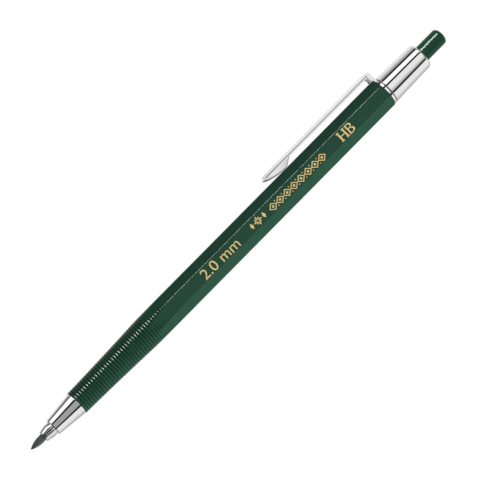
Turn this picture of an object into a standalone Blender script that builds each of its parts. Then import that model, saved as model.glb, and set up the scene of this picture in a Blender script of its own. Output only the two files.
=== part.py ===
"""A 2 mm clutch lead holder, modelled piece by piece in metres.

The holder lies along X on one flat of its octagonal barrel: the lead points to -X, the
button to +X, the clip is on the +Y side and the flat that faces +Z is the label side.
The origin is on the bottom flat, below the axis, at the middle of the whole length.
"""

import math

import bmesh
import bpy
from mathutils import Vector

MM = 0.001

# ---- Lengths along the axis ----------------------------------------------------------
NOSE_FRONT = -68.0 * MM
NOSE_LENGTH = 8.7 * MM
BARREL_LENGTH = 113.2 * MM
RING_THICKNESS = 0.7 * MM
SLEEVE_LENGTH = 13.3 * MM
BUTTON_PROUD = 7.9 * MM
PRESS_TRAVEL = 4.0 * MM

# ---- Lead and clutch -----------------------------------------------------------------
LEAD_RADIUS = 1.0 * MM
LEAD_LENGTH = 120.0 * MM
POINT_LENGTH = 3.5 * MM
LEAD_PROUD = 4.5 * MM
JAW_COUNT = 3
JAW_PROUD = 3.4 * MM
JAW_LENGTH = 13.4 * MM
JAW_HEAD_WALL = 0.88 * MM
JAW_TIP_WALL = 0.46 * MM
JAW_SHANK_WALL = 0.28 * MM
JAW_BORE_RELIEF = 0.1 * MM
JAW_GRIP_LENGTH = 5.0 * MM
JAW_CONE_LENGTH = 2.0 * MM
SLOT_WIDTH = 0.3 * MM
COLLET_BODY_LENGTH = 5.0 * MM

# ---- Tube, spring and bushes ---------------------------------------------------------
TUBE_WALL = 0.6 * MM
TUBE_SPIGOT_WALL = 0.3 * MM
TUBE_SPIGOT_LENGTH = 3.0 * MM
TUBE_IN_CAP = 4.9 * MM
SPRING_LENGTH = 18.0 * MM
SPRING_TURNS = 9
SPRING_WIRE_RADIUS = 0.17 * MM
WASHER_THICKNESS = 0.3 * MM
COLLAR_LENGTH = 2.2 * MM
FRONT_BUSH_LENGTH = 12.0 * MM
REAR_BUSH_LENGTH = 10.0 * MM
BUSH_STEP = 0.25 * MM
FRONT_SPIGOT_WALL = 0.55 * MM
REAR_SPIGOT_WALL = 0.7 * MM

# ---- Nose cone -----------------------------------------------------------------------
MOUTH_TAPER_LENGTH = 2.0 * MM
MOUTH_TAPER_DROP = 0.28 * MM
NOSE_LIP = 0.46 * MM
NOSE_STEP = 0.16 * MM
NOSE_RIM = 0.22 * MM
NOSE_CAVITY_RADIUS = 2.15 * MM
NOSE_CAVITY_LENGTH = 2.0 * MM

# ---- Barrel --------------------------------------------------------------------------
ACROSS_FLATS = 8.4 * MM
EDGE_RADIUS = 0.35 * MM
GRIP_WALL = 0.4 * MM
GRIP_TO_FLATS = 26.8 * MM
GRIP_TO_EDGES = 33.5 * MM
GROOVE_COUNT = 40
GROOVE_DEPTH = 0.16 * MM
LAST_GROOVE_DEPTH = 0.06 * MM
BARREL_END_STEP = 0.3 * MM
BARREL_END_ROUND = 1.0 * MM

# ---- Clip ----------------------------------------------------------------------------
RING_STEP = 0.05 * MM
CLIP_WIDTH = 3.2 * MM
CLIP_SHEET = 0.42 * MM
CLIP_HEIGHT = 2.8 * MM
CLIP_WALL = 1.35 * MM
CLIP_REACH = 39.5 * MM
CLIP_RISER_DEPTH = 1.55 * MM
CLIP_BEND_RADIUS = 1.0 * MM
CLIP_SHOULDER = 0.5 * MM
CLIP_TIP_RADIUS = 0.7 * MM
FOOT_LENGTH = 9.1 * MM
FOOT_CONTACT = 6.3 * MM
FOOT_ROUND = 0.8 * MM

# ---- Sleeve and button ---------------------------------------------------------------
SLEEVE_STEP = 0.16 * MM
SLEEVE_TAPER = 0.31 * MM
SLEEVE_EDGE = 0.7 * MM
SOCKET_WALL = 0.17 * MM
SOCKET_LENGTH = 5.2 * MM
BUTTON_WALL = 0.28 * MM
BUTTON_SKIRT = 3.7 * MM
BUTTON_EDGE = 1.1 * MM
BUTTON_DOME = 0.25 * MM
SNAP_THICKNESS = 0.22 * MM
SNAP_WIDTH = 0.45 * MM
SNAP_SETBACK = 1.2 * MM
SNAP_OPENING = math.radians(40)

# ---- Clearances ----------------------------------------------------------------------
SEAT_GAP = 0.05 * MM
RUN_GAP = 0.1 * MM
SLIDE_GAP = 0.15 * MM
SPRING_GAP = 0.25 * MM
STOP_GAP = 0.4 * MM
LEAD_GAP = 0.04 * MM

# ---- Fineness of the round shapes ----------------------------------------------------
ROUND_STEPS = 32
ARC_STEPS = 4
COIL_STEPS = 14
WIRE_SIDES = 6
MERGE_DISTANCE = 1e-7

# ---- Radii that follow from the lead outwards ----------------------------------------
JAW_BORE_RADIUS = LEAD_RADIUS + LEAD_GAP
JAW_HEAD_RADIUS = JAW_BORE_RADIUS + JAW_HEAD_WALL
JAW_TIP_RADIUS = JAW_BORE_RADIUS + JAW_TIP_WALL
JAW_RELIEF_RADIUS = JAW_BORE_RADIUS + JAW_BORE_RELIEF
JAW_SHANK_RADIUS = JAW_RELIEF_RADIUS + JAW_SHANK_WALL
JAW_HINGE_RADIUS = JAW_RELIEF_RADIUS + JAW_SHANK_WALL / 2
MOUTH_RADIUS = JAW_HEAD_RADIUS + SEAT_GAP
NOSE_FRONT_RADIUS = MOUTH_RADIUS + NOSE_LIP
TUBE_BORE_RADIUS = LEAD_RADIUS + SLIDE_GAP
TUBE_RADIUS = TUBE_BORE_RADIUS + TUBE_WALL
TUBE_SPIGOT_RADIUS = TUBE_BORE_RADIUS + TUBE_SPIGOT_WALL
GUIDE_RADIUS = TUBE_RADIUS + RUN_GAP
SPRING_COIL_RADIUS = TUBE_RADIUS + SPRING_GAP + SPRING_WIRE_RADIUS
BARREL_BORE_RADIUS = SPRING_COIL_RADIUS + SPRING_WIRE_RADIUS + SPRING_GAP
COLLAR_RADIUS = BARREL_BORE_RADIUS - SLIDE_GAP
BUSH_RADIUS = BARREL_BORE_RADIUS + BUSH_STEP
FRONT_THREAD_RADIUS = GUIDE_RADIUS + FRONT_SPIGOT_WALL
REAR_THREAD_RADIUS = GUIDE_RADIUS + REAR_SPIGOT_WALL
GRIP_FRONT_RADIUS = BUSH_RADIUS + SEAT_GAP + GRIP_WALL + GROOVE_DEPTH
NOSE_REAR_RADIUS = GRIP_FRONT_RADIUS - NOSE_STEP
FLAT_RADIUS = ACROSS_FLATS / 2
RING_RADIUS = FLAT_RADIUS - RING_STEP
BARREL_END_RADIUS = FLAT_RADIUS - BARREL_END_STEP
SLEEVE_FRONT_RADIUS = FLAT_RADIUS - SLEEVE_STEP
SLEEVE_REAR_RADIUS = SLEEVE_FRONT_RADIUS - SLEEVE_TAPER
SOCKET_RADIUS = TUBE_RADIUS + SEAT_GAP + SOCKET_WALL
BUTTON_BORE_RADIUS = SOCKET_RADIUS + SEAT_GAP
BUTTON_RADIUS = BUTTON_BORE_RADIUS + BUTTON_WALL

# ---- Places along the axis -----------------------------------------------------------
AXIS_HEIGHT = FLAT_RADIUS
HALF_SIDE = math.radians(22.5)
BARREL_FRONT = NOSE_FRONT + NOSE_LENGTH
BARREL_REAR = BARREL_FRONT + BARREL_LENGTH
THREAD_FRONT = NOSE_FRONT + MOUTH_TAPER_LENGTH + NOSE_CAVITY_LENGTH
JAW_FRONT = NOSE_FRONT - JAW_PROUD
JAW_ROOT = JAW_FRONT + JAW_LENGTH
LEAD_TIP = JAW_FRONT - LEAD_PROUD
COLLET_FRONT = JAW_ROOT + SEAT_GAP
COLLET_REAR = COLLET_FRONT + COLLET_BODY_LENGTH
TUBE_FRONT = COLLET_REAR - TUBE_SPIGOT_LENGTH
FRONT_BUSH_REAR = BARREL_FRONT + FRONT_BUSH_LENGTH
WASHER_FRONT = FRONT_BUSH_REAR + SEAT_GAP
SPRING_FRONT = WASHER_FRONT + WASHER_THICKNESS + SEAT_GAP
COLLAR_FRONT = SPRING_FRONT + SPRING_LENGTH + SEAT_GAP
REAR_BUSH_FRONT = BARREL_REAR - REAR_BUSH_LENGTH
RING_FRONT = BARREL_REAR + SEAT_GAP
RING_REAR = RING_FRONT + RING_THICKNESS
SLEEVE_FRONT = RING_REAR + SEAT_GAP
SLEEVE_REAR = SLEEVE_FRONT + SLEEVE_LENGTH
BUTTON_FRONT = SLEEVE_REAR - BUTTON_SKIRT
BUTTON_REAR = SLEEVE_REAR + BUTTON_PROUD
REAR_SPIGOT_END = BUTTON_FRONT - PRESS_TRAVEL - STOP_GAP
TUBE_REAR = BUTTON_FRONT + TUBE_IN_CAP
SOCKET_REAR = BUTTON_FRONT + SOCKET_LENGTH
SNAP_FRONT = TUBE_REAR - SNAP_SETBACK - SNAP_WIDTH
CLIP_TIP = RING_REAR - CLIP_REACH
CLIP_BASE = FLAT_RADIUS + SEAT_GAP
CLIP_TOP = FLAT_RADIUS + CLIP_HEIGHT
CLIP_EDGE = CLIP_TOP - CLIP_WALL


# ---- Helpers -------------------------------------------------------------------------
def clear_scene():
    """Remove every object of the open scene."""
    for thing in list(bpy.data.objects):
        bpy.data.objects.remove(thing, do_unlink=True)


def make_material(name, colour, metallic, roughness):
    """A plain Principled material."""
    material = bpy.data.materials.new(name)
    material.use_nodes = True
    shader = material.node_tree.nodes["Principled BSDF"]
    shader.inputs["Base Color"].default_value = (*colour, 1.0)
    shader.inputs["Metallic"].default_value = metallic
    shader.inputs["Roughness"].default_value = roughness
    material.diffuse_color = (*colour, 1.0)
    return material


def finish_piece(bm, name, material, origin):
    """Turn a bmesh drawn round `origin` into a smooth-shaded object placed there."""
    bmesh.ops.recalc_face_normals(bm, faces=bm.faces)
    mesh = bpy.data.meshes.new(name)
    bm.to_mesh(mesh)
    bm.free()
    mesh.shade_smooth()
    mesh.set_sharp_from_angle(angle=math.radians(35))
    mesh.materials.append(material)
    piece = bpy.data.objects.new(name, mesh)
    piece.location = origin
    bpy.context.collection.objects.link(piece)
    return piece


def on_axis(x):
    """The point of the holder's axis at the station x."""
    return Vector((x, 0.0, AXIS_HEIGHT))


def turned(name, outline, material):
    """A solid of revolution about the holder's axis.

    `outline` holds (x, radius) points. It is closed by itself, or runs from axis to axis.
    """
    start = outline[0][0]
    bm = bmesh.new()
    points = [bm.verts.new((x - start, 0.0, radius)) for x, radius in outline]
    edges = [bm.edges.new(pair) for pair in zip(points, points[1:])]
    if outline[0][1] > 0:
        edges.append(bm.edges.new((points[-1], points[0])))
    bmesh.ops.spin(bm, geom=points + edges, cent=(0, 0, 0), axis=(1, 0, 0),
                   angle=2 * math.pi, steps=ROUND_STEPS, use_merge=True)
    bmesh.ops.remove_doubles(bm, verts=bm.verts, dist=MERGE_DISTANCE)
    return finish_piece(bm, name, material, on_axis(start))


def arc(centre, radii, first, last, steps=ARC_STEPS):
    """Points of an elliptical arc in the (x, radius) plane, with angles in degrees."""
    angles = [math.radians(first + (last - first) * i / steps) for i in range(steps + 1)]
    return [(centre[0] + radii[0] * math.cos(a), centre[1] + radii[1] * math.sin(a)) for a in angles]


def loft(bm, rings, closed):
    """Quads between neighbouring rings of equal size. Open ends are capped."""
    pairs = list(zip(rings, rings[1:]))
    if closed:
        pairs.append((rings[-1], rings[0]))
    count = len(rings[0])
    for near, far in pairs:
        for i in range(count):
            j = (i + 1) % count
            bm.faces.new((near[i], near[j], far[j], far[i]))
    if not closed:
        bm.faces.new(reversed(rings[0]))
        bm.faces.new(rings[-1])


def sector(name, outline, material, middle, width, origin, steps):
    """Part of a solid of revolution, `width` radians wide and centred on the angle `middle`.

    Angles run from +Z towards +Y. `outline` is a closed loop of (x, radius) points.
    """
    start = middle - width / 2
    spoke = Vector((0.0, math.sin(start), math.cos(start)))
    bm = bmesh.new()
    points = [bm.verts.new(Vector((x, 0.0, 0.0)) + spoke * radius) for x, radius in outline]
    edges = [bm.edges.new(pair) for pair in zip(points, points[1:] + points[:1])]
    bmesh.ops.spin(bm, geom=points + edges, cent=(0, 0, 0), axis=(-1, 0, 0),
                   angle=width, steps=steps, use_duplicate=False)
    rim = [edge for edge in bm.edges if edge.is_boundary]
    bmesh.ops.holes_fill(bm, edges=rim, sides=0)
    bmesh.ops.translate(bm, verts=bm.verts, vec=on_axis(0.0) - origin)
    return finish_piece(bm, name, material, origin)


def slab(name, outline, width, material, origin):
    """An outline of (x, y) points from the axis, extruded `width` along Z about the axis."""
    bm = bmesh.new()
    points = [bm.verts.new((x - origin.x, y - origin.y, -width / 2)) for x, y in outline]
    face = bm.faces.new(points)
    grown = bmesh.ops.extrude_face_region(bm, geom=[face])
    lifted = [item for item in grown["geom"] if isinstance(item, bmesh.types.BMVert)]
    bmesh.ops.translate(bm, verts=lifted, vec=(0.0, 0.0, width))
    return finish_piece(bm, name, material, origin)


# ---- Barrel --------------------------------------------------------------------------
def edge_angle():
    """Half the angle that one flat takes, up to where its rounded edges begin."""
    return math.atan((FLAT_RADIUS - EDGE_RADIUS) * math.tan(HALF_SIDE) / FLAT_RADIUS)


def octagon_radius(angle):
    """Distance from the axis to the octagon's flats in the direction `angle`."""
    offset = (angle + HALF_SIDE) % (2 * HALF_SIDE) - HALF_SIDE
    return FLAT_RADIUS / math.cos(offset)


def grip_crest(t):
    """Radius of the rings' crests at the distance t behind the barrel's front.

    A parabola whose grooves are LAST_GROOVE_DEPTH deep in the flats at GRIP_TO_FLATS and in
    the edges at GRIP_TO_EDGES.
    """
    fade = GROOVE_DEPTH - LAST_GROOVE_DEPTH
    at_flats = FLAT_RADIUS + fade
    at_edges = octagon_radius(edge_angle()) + fade
    first = (at_flats - GRIP_FRONT_RADIUS) / GRIP_TO_FLATS
    second = (at_edges - at_flats) / (GRIP_TO_EDGES - GRIP_TO_FLATS)
    bend = (second - first) / GRIP_TO_EDGES
    return GRIP_FRONT_RADIUS + t * (first + bend * (t - GRIP_TO_FLATS))


def barrel_limits():
    """(x, radius) pairs that the octagon is turned down to, from front to rear."""
    half_pitch = GRIP_TO_EDGES / GROOVE_COUNT / 2
    corner = octagon_radius(edge_angle())
    limits = []
    for i in range(2 * GROOVE_COUNT):
        t = i * half_pitch
        depth = 0.0 if i % 2 else GROOVE_DEPTH
        limits.append((BARREL_FRONT + t, grip_crest(t) - depth))
    limits.append((BARREL_FRONT + GRIP_TO_EDGES, corner))
    limits += arc((BARREL_REAR - BARREL_END_ROUND, BARREL_END_RADIUS),
                  (BARREL_END_ROUND, corner - BARREL_END_RADIUS), 90, 0)
    return limits


def barrel_bore():
    """(x, radius) pairs of the stepped bore, from rear to front."""
    seat = BUSH_RADIUS + SEAT_GAP
    return [
        (BARREL_REAR, seat),
        (REAR_BUSH_FRONT - SEAT_GAP, seat),
        (REAR_BUSH_FRONT - SEAT_GAP, BARREL_BORE_RADIUS),
        (FRONT_BUSH_REAR + SEAT_GAP, BARREL_BORE_RADIUS),
        (FRONT_BUSH_REAR + SEAT_GAP, seat),
        (BARREL_FRONT, seat),
    ]


def build_barrel(material):
    """Octagonal barrel with a ringed, flared front and a stepped bore."""
    edge = edge_angle()
    offsets = (-edge, -edge / 3, edge / 3, edge)
    outer = [2 * HALF_SIDE * side + offset for side in range(8) for offset in offsets]
    inner = [2 * math.pi * (i - 2) / len(outer) for i in range(len(outer))]
    bm = bmesh.new()

    def ring(x, angles, radius_at):
        spots = [(x, math.sin(a) * radius_at(a), math.cos(a) * radius_at(a)) for a in angles]
        return [bm.verts.new(spot) for spot in spots]

    rings = [ring(x, outer, lambda a, r=radius: min(r, octagon_radius(a)))
             for x, radius in barrel_limits()]
    rings += [ring(x, inner, lambda a, r=radius: r) for x, radius in barrel_bore()]
    loft(bm, rings, closed=True)
    return finish_piece(bm, "barrel", material, on_axis(0.0))


# ---- Nose, bushes and spring ---------------------------------------------------------
def build_nose_cone(material):
    """Chromed cone: taper mouth, cavity for the jaws and threaded socket."""
    rear = BARREL_FRONT - SEAT_GAP
    throat = NOSE_FRONT + MOUTH_TAPER_LENGTH
    socket = FRONT_THREAD_RADIUS + SEAT_GAP
    rim = arc((NOSE_FRONT + NOSE_RIM, NOSE_FRONT_RADIUS - NOSE_RIM), (NOSE_RIM, NOSE_RIM), 180, 100)
    outline = [
        (throat, MOUTH_RADIUS - MOUTH_TAPER_DROP),
        (NOSE_FRONT, MOUTH_RADIUS),
        *rim,
        (rear - NOSE_RIM / 2, NOSE_REAR_RADIUS),
        (rear, NOSE_REAR_RADIUS - NOSE_RIM / 2),
        (rear, socket),
        (THREAD_FRONT, socket),
        (THREAD_FRONT, NOSE_CAVITY_RADIUS),
        (throat + MOUTH_TAPER_DROP, NOSE_CAVITY_RADIUS),
    ]
    return turned("nose_cone", outline, material)


def build_front_bush(material):
    """Brass bush: pressed in the barrel, threaded spigot in the nose cone."""
    outline = [
        (THREAD_FRONT + SEAT_GAP, GUIDE_RADIUS),
        (THREAD_FRONT + SEAT_GAP, FRONT_THREAD_RADIUS),
        (BARREL_FRONT, FRONT_THREAD_RADIUS),
        (BARREL_FRONT, BUSH_RADIUS),
        (FRONT_BUSH_REAR, BUSH_RADIUS),
        (FRONT_BUSH_REAR, GUIDE_RADIUS),
    ]
    return turned("front_bush", outline, material)


def build_rear_bush(material):
    """Brass bush: pressed in the barrel, threaded spigot through the ring into the sleeve."""
    outline = [
        (REAR_BUSH_FRONT, GUIDE_RADIUS),
        (REAR_BUSH_FRONT, BUSH_RADIUS),
        (BARREL_REAR, BUSH_RADIUS),
        (BARREL_REAR, REAR_THREAD_RADIUS),
        (REAR_SPIGOT_END, REAR_THREAD_RADIUS),
        (REAR_SPIGOT_END, GUIDE_RADIUS),
    ]
    return turned("rear_bush", outline, material)


def build_washer(material):
    """Steel washer under the front end of the spring."""
    outer = BARREL_BORE_RADIUS - SEAT_GAP
    rear = WASHER_FRONT + WASHER_THICKNESS
    outline = [(WASHER_FRONT, GUIDE_RADIUS), (WASHER_FRONT, outer), (rear, outer), (rear, GUIDE_RADIUS)]
    return turned("front_washer", outline, material)


def spring_advance(turn):
    """Distance along the axis after `turn` turns: the end turns lie close together."""
    close = 2.4 * SPRING_WIRE_RADIUS
    length = SPRING_LENGTH - 2 * SPRING_WIRE_RADIUS
    open_pitch = (length - 2 * close) / (SPRING_TURNS - 2)
    if turn < 1:
        return turn * close
    if turn > SPRING_TURNS - 1:
        return length - (SPRING_TURNS - turn) * close
    return close + (turn - 1) * open_pitch


def build_spring(material):
    """Helical compression spring with one close turn at each end."""
    bm = bmesh.new()
    rings = []
    for step in range(SPRING_TURNS * COIL_STEPS + 1):
        turn = step / COIL_STEPS
        angle = 2 * math.pi * turn
        spoke = Vector((0.0, math.sin(angle), math.cos(angle)))
        centre = spoke * SPRING_COIL_RADIUS
        centre.x = SPRING_WIRE_RADIUS + spring_advance(turn)
        sides = [2 * math.pi * i / WIRE_SIDES for i in range(WIRE_SIDES)]
        along = Vector((1.0, 0.0, 0.0))
        rings.append([
            bm.verts.new(centre + SPRING_WIRE_RADIUS * (spoke * math.cos(s) + along * math.sin(s)))
            for s in sides
        ])
    loft(bm, rings, closed=False)
    return finish_piece(bm, "return_spring", material, on_axis(SPRING_FRONT))


# ---- Plunger -------------------------------------------------------------------------
def build_lead(material):
    """Graphite lead with an ogive point."""
    point = [
        (LEAD_TIP + POINT_LENGTH * t, LEAD_RADIUS * (0.08 + 0.92 * math.sin(math.pi / 2 * t) ** 0.8))
        for t in (0.0, 0.15, 0.35, 0.6, 1.0)
    ]
    rear = LEAD_TIP + LEAD_LENGTH
    outline = [(LEAD_TIP, 0.0), *point, (rear, LEAD_RADIUS), (rear, 0.0)]
    return turned("lead", outline, material)


def build_lead_tube(material):
    """Brass tube from the clutch to the button, with a front spigot and a ring groove."""
    shoulder = COLLET_REAR + SEAT_GAP
    groove = TUBE_RADIUS - SNAP_THICKNESS
    outline = [
        (TUBE_FRONT, TUBE_BORE_RADIUS),
        (TUBE_FRONT, TUBE_SPIGOT_RADIUS),
        (shoulder, TUBE_SPIGOT_RADIUS),
        (shoulder, TUBE_RADIUS),
        (SNAP_FRONT - SEAT_GAP, TUBE_RADIUS),
        (SNAP_FRONT - SEAT_GAP, groove),
        (SNAP_FRONT + SNAP_WIDTH + SEAT_GAP, groove),
        (SNAP_FRONT + SNAP_WIDTH + SEAT_GAP, TUBE_RADIUS),
        (TUBE_REAR, TUBE_RADIUS),
        (TUBE_REAR, TUBE_BORE_RADIUS),
    ]
    return turned("lead_tube", outline, material)


def build_collet_body(material):
    """Root of the clutch, with a socket for the tube's spigot."""
    socket = TUBE_SPIGOT_RADIUS + SEAT_GAP
    outline = [
        (COLLET_FRONT, TUBE_BORE_RADIUS),
        (COLLET_FRONT, JAW_SHANK_RADIUS),
        (COLLET_FRONT + TUBE_WALL, TUBE_RADIUS),
        (COLLET_REAR, TUBE_RADIUS),
        (COLLET_REAR, socket),
        (TUBE_FRONT - SEAT_GAP, socket),
        (TUBE_FRONT - SEAT_GAP, TUBE_BORE_RADIUS),
    ]
    return turned("collet_body", outline, material)


def build_jaw(number, material):
    """One jaw of the clutch. Its origin is on its flexing root."""
    taper_rear = NOSE_FRONT + MOUTH_TAPER_LENGTH
    head_rear_radius = JAW_HEAD_RADIUS - MOUTH_TAPER_DROP
    outline = [
        (JAW_FRONT, JAW_BORE_RADIUS),
        (JAW_FRONT, JAW_TIP_RADIUS),
        (JAW_FRONT + JAW_CONE_LENGTH, JAW_HEAD_RADIUS),
        (NOSE_FRONT, JAW_HEAD_RADIUS),
        (taper_rear, head_rear_radius),
        (taper_rear + JAW_SHANK_WALL, JAW_SHANK_RADIUS),
        (JAW_ROOT, JAW_SHANK_RADIUS),
        (JAW_ROOT, JAW_RELIEF_RADIUS),
        (JAW_FRONT + JAW_GRIP_LENGTH, JAW_RELIEF_RADIUS),
        (JAW_FRONT + JAW_GRIP_LENGTH, JAW_BORE_RADIUS),
    ]
    share = 2 * math.pi / JAW_COUNT
    middle = share * (number - 0.5)
    width = share - SLOT_WIDTH / JAW_HEAD_RADIUS
    spoke = Vector((0.0, math.sin(middle), math.cos(middle)))
    hinge = on_axis(JAW_ROOT) + spoke * JAW_HINGE_RADIUS
    steps = ROUND_STEPS // JAW_COUNT
    return sector(f"collet_jaw_{number}", outline, material, middle, width, hinge, steps)


def build_collar(material):
    """Collar pressed on the tube, behind the spring."""
    bore = TUBE_RADIUS + SEAT_GAP
    rear = COLLAR_FRONT + COLLAR_LENGTH
    outline = [(COLLAR_FRONT, bore), (COLLAR_FRONT, COLLAR_RADIUS), (rear, COLLAR_RADIUS), (rear, bore)]
    return turned("tube_collar", outline, material)


def build_snap_ring(material):
    """Split ring in the tube's groove: it holds the cap on by friction."""
    inner = TUBE_RADIUS - SNAP_THICKNESS + SEAT_GAP / 2
    outer = TUBE_RADIUS + SEAT_GAP / 2
    rear = SNAP_FRONT + SNAP_WIDTH
    outline = [(SNAP_FRONT, inner), (SNAP_FRONT, outer), (rear, outer), (rear, inner)]
    width = 2 * math.pi - SNAP_OPENING
    return sector("snap_ring", outline, material, math.pi, width, on_axis(SNAP_FRONT), ROUND_STEPS - 4)


# ---- Clip ----------------------------------------------------------------------------
def clip_outline():
    """Side view of the clip's arm as (x, y) points, from the ring over the top to the foot."""
    contact = CLIP_TIP + FOOT_CONTACT
    bend = arc((RING_REAR - CLIP_BEND_RADIUS, CLIP_TOP - CLIP_BEND_RADIUS),
               (CLIP_BEND_RADIUS, CLIP_BEND_RADIUS), 0, 90)
    tip = arc((CLIP_TIP + CLIP_TIP_RADIUS, CLIP_TOP - CLIP_TIP_RADIUS),
              (CLIP_TIP_RADIUS, CLIP_TIP_RADIUS), 90, 215)
    sole = arc((contact, CLIP_BASE + FOOT_ROUND), (FOOT_ROUND * 1.6, FOOT_ROUND), 245, 315)
    return [
        (RING_REAR, CLIP_BASE),
        *bend,
        *tip,
        *sole,
        (CLIP_TIP + FOOT_LENGTH, CLIP_EDGE),
        (RING_REAR - CLIP_RISER_DEPTH, CLIP_EDGE),
        (RING_REAR - CLIP_RISER_DEPTH, CLIP_BASE),
    ]


def channel_outline():
    """Side view of the hollow inside the arm, which is open below the strip."""
    roof = CLIP_TOP - CLIP_SHEET
    back = RING_REAR - CLIP_SHEET
    below = CLIP_BASE - CLIP_WALL
    heel = CLIP_TIP + FOOT_LENGTH + CLIP_SHEET
    contact = CLIP_TIP + FOOT_CONTACT
    return [
        (back, below),
        (back, roof - CLIP_SHEET),
        (back - CLIP_SHEET, roof),
        (CLIP_TIP + 2 * CLIP_TIP_RADIUS, roof),
        (CLIP_TIP + 2 * CLIP_TIP_RADIUS, CLIP_EDGE + CLIP_SHEET),
        (contact - FOOT_ROUND, CLIP_BASE + 1.5 * CLIP_SHEET),
        (contact, CLIP_BASE + CLIP_SHEET),
        (heel - CLIP_SHEET / 2, CLIP_EDGE + CLIP_SHEET),
        (heel, CLIP_EDGE + CLIP_SHEET),
        (heel, below),
    ]


def round_shoulders(piece):
    """Round the two long top edges of the clip's arm."""
    bm = bmesh.new()
    bm.from_mesh(piece.data)
    side = CLIP_WIDTH / 2 - MERGE_DISTANCE
    low = CLIP_EDGE - CLIP_BASE + MERGE_DISTANCE
    shoulders = [
        edge for edge in bm.edges
        if all(abs(vert.co.z) > side and vert.co.y > low for vert in edge.verts)
        and edge.verts[0].co.z * edge.verts[1].co.z > 0
    ]
    bmesh.ops.bevel(bm, geom=shoulders, offset=CLIP_SHOULDER, segments=2, profile=0.5,
                    affect="EDGES", clamp_overlap=True)
    bm.to_mesh(piece.data)
    bm.free()


def build_clip_arm(material):
    """Channel-section arm with a hollow foot. Its origin is where it flexes, at the ring."""
    hinge = Vector((RING_REAR, CLIP_BASE, AXIS_HEIGHT))
    arm = slab("clip_arm", clip_outline(), CLIP_WIDTH, material, hinge)
    round_shoulders(arm)
    cutter = slab("clip_channel_cutter", channel_outline(), CLIP_WIDTH - 2 * CLIP_SHEET, material, hinge)
    cutter.hide_render = True
    cutter.display_type = "WIRE"
    carve = arm.modifiers.new("channel", "BOOLEAN")
    carve.operation = "DIFFERENCE"
    carve.solver = "EXACT"
    carve.object = cutter
    return arm


def build_clip_ring(material):
    """Plate of the clip, clamped between barrel and sleeve."""
    bore = REAR_THREAD_RADIUS + RUN_GAP
    outline = [(RING_FRONT, bore), (RING_FRONT, RING_RADIUS), (RING_REAR, RING_RADIUS), (RING_REAR, bore)]
    return turned("clip_ring", outline, material)


# ---- Sleeve and button ---------------------------------------------------------------
def build_rear_sleeve(material):
    """Chromed sleeve: threaded on the rear bush, guides the button."""
    thread = REAR_THREAD_RADIUS + SEAT_GAP
    guide = BUTTON_RADIUS + SLIDE_GAP
    thread_end = REAR_SPIGOT_END + RUN_GAP
    edge = arc((SLEEVE_REAR - SLEEVE_EDGE, SLEEVE_REAR_RADIUS - SLEEVE_EDGE),
               (SLEEVE_EDGE, SLEEVE_EDGE), 90, 0)
    outline = [
        (SLEEVE_FRONT, thread),
        (SLEEVE_FRONT, SLEEVE_FRONT_RADIUS),
        *edge,
        (SLEEVE_REAR, guide),
        (thread_end, guide),
        (thread_end, thread),
    ]
    return turned("rear_sleeve", outline, material)


def build_push_button(material):
    """Plastic cap with a slightly domed end."""
    edge = arc((BUTTON_REAR - BUTTON_DOME - BUTTON_EDGE, BUTTON_RADIUS - BUTTON_EDGE),
               (BUTTON_EDGE, BUTTON_EDGE), 90, 12)
    outline = [
        (SOCKET_REAR + SEAT_GAP, 0.0),
        (SOCKET_REAR + SEAT_GAP, BUTTON_BORE_RADIUS),
        (BUTTON_FRONT, BUTTON_BORE_RADIUS),
        (BUTTON_FRONT, BUTTON_RADIUS),
        *edge,
        (BUTTON_REAR, 0.0),
    ]
    return turned("push_button", outline, material)


def build_button_socket(material):
    """Brass socket in the cap that plugs on the tube."""
    bore = TUBE_RADIUS + SEAT_GAP
    front = BUTTON_FRONT + SEAT_GAP
    outline = [(front, bore), (front, SOCKET_RADIUS), (SOCKET_REAR, SOCKET_RADIUS), (SOCKET_REAR, bore)]
    return turned("button_socket", outline, material)


def main():
    """Build every piece of the holder."""
    clear_scene()
    green = make_material("green_plastic", (0.012, 0.055, 0.035), 0.0, 0.25)
    button_green = make_material("button_green", (0.012, 0.07, 0.045), 0.0, 0.15)
    chrome = make_material("chrome", (0.82, 0.83, 0.84), 1.0, 0.08)
    clutch_steel = make_material("clutch_steel", (0.7, 0.7, 0.68), 1.0, 0.2)
    spring_steel = make_material("spring_steel", (0.45, 0.45, 0.46), 1.0, 0.35)
    brass = make_material("brass", (0.72, 0.52, 0.22), 1.0, 0.3)
    graphite = make_material("graphite", (0.03, 0.035, 0.034), 0.2, 0.4)

    build_barrel(green)
    build_nose_cone(chrome)
    build_front_bush(brass)
    build_rear_bush(brass)
    build_washer(spring_steel)
    build_spring(spring_steel)
    build_lead(graphite)
    build_lead_tube(brass)
    build_collet_body(clutch_steel)
    for number in range(1, JAW_COUNT + 1):
        build_jaw(number, clutch_steel)
    build_collar(brass)
    build_snap_ring(spring_steel)
    build_clip_ring(chrome)
    build_clip_arm(chrome)
    build_rear_sleeve(chrome)
    build_push_button(button_green)
    build_button_socket(brass)


main()
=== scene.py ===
"""Looks of a 2 mm clutch lead holder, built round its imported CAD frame.

The holder lies along X on one flat of its octagonal barrel: the lead points to -X, the
button to +X, the clip is on the +Y side and the flat that faces +Z is the label side.
"""

from __future__ import annotations

import logging
import math
from dataclasses import dataclass
from enum import Enum
from typing import Callable, Sequence

import bmesh
import bpy
from mathutils import Matrix, Vector

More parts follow.
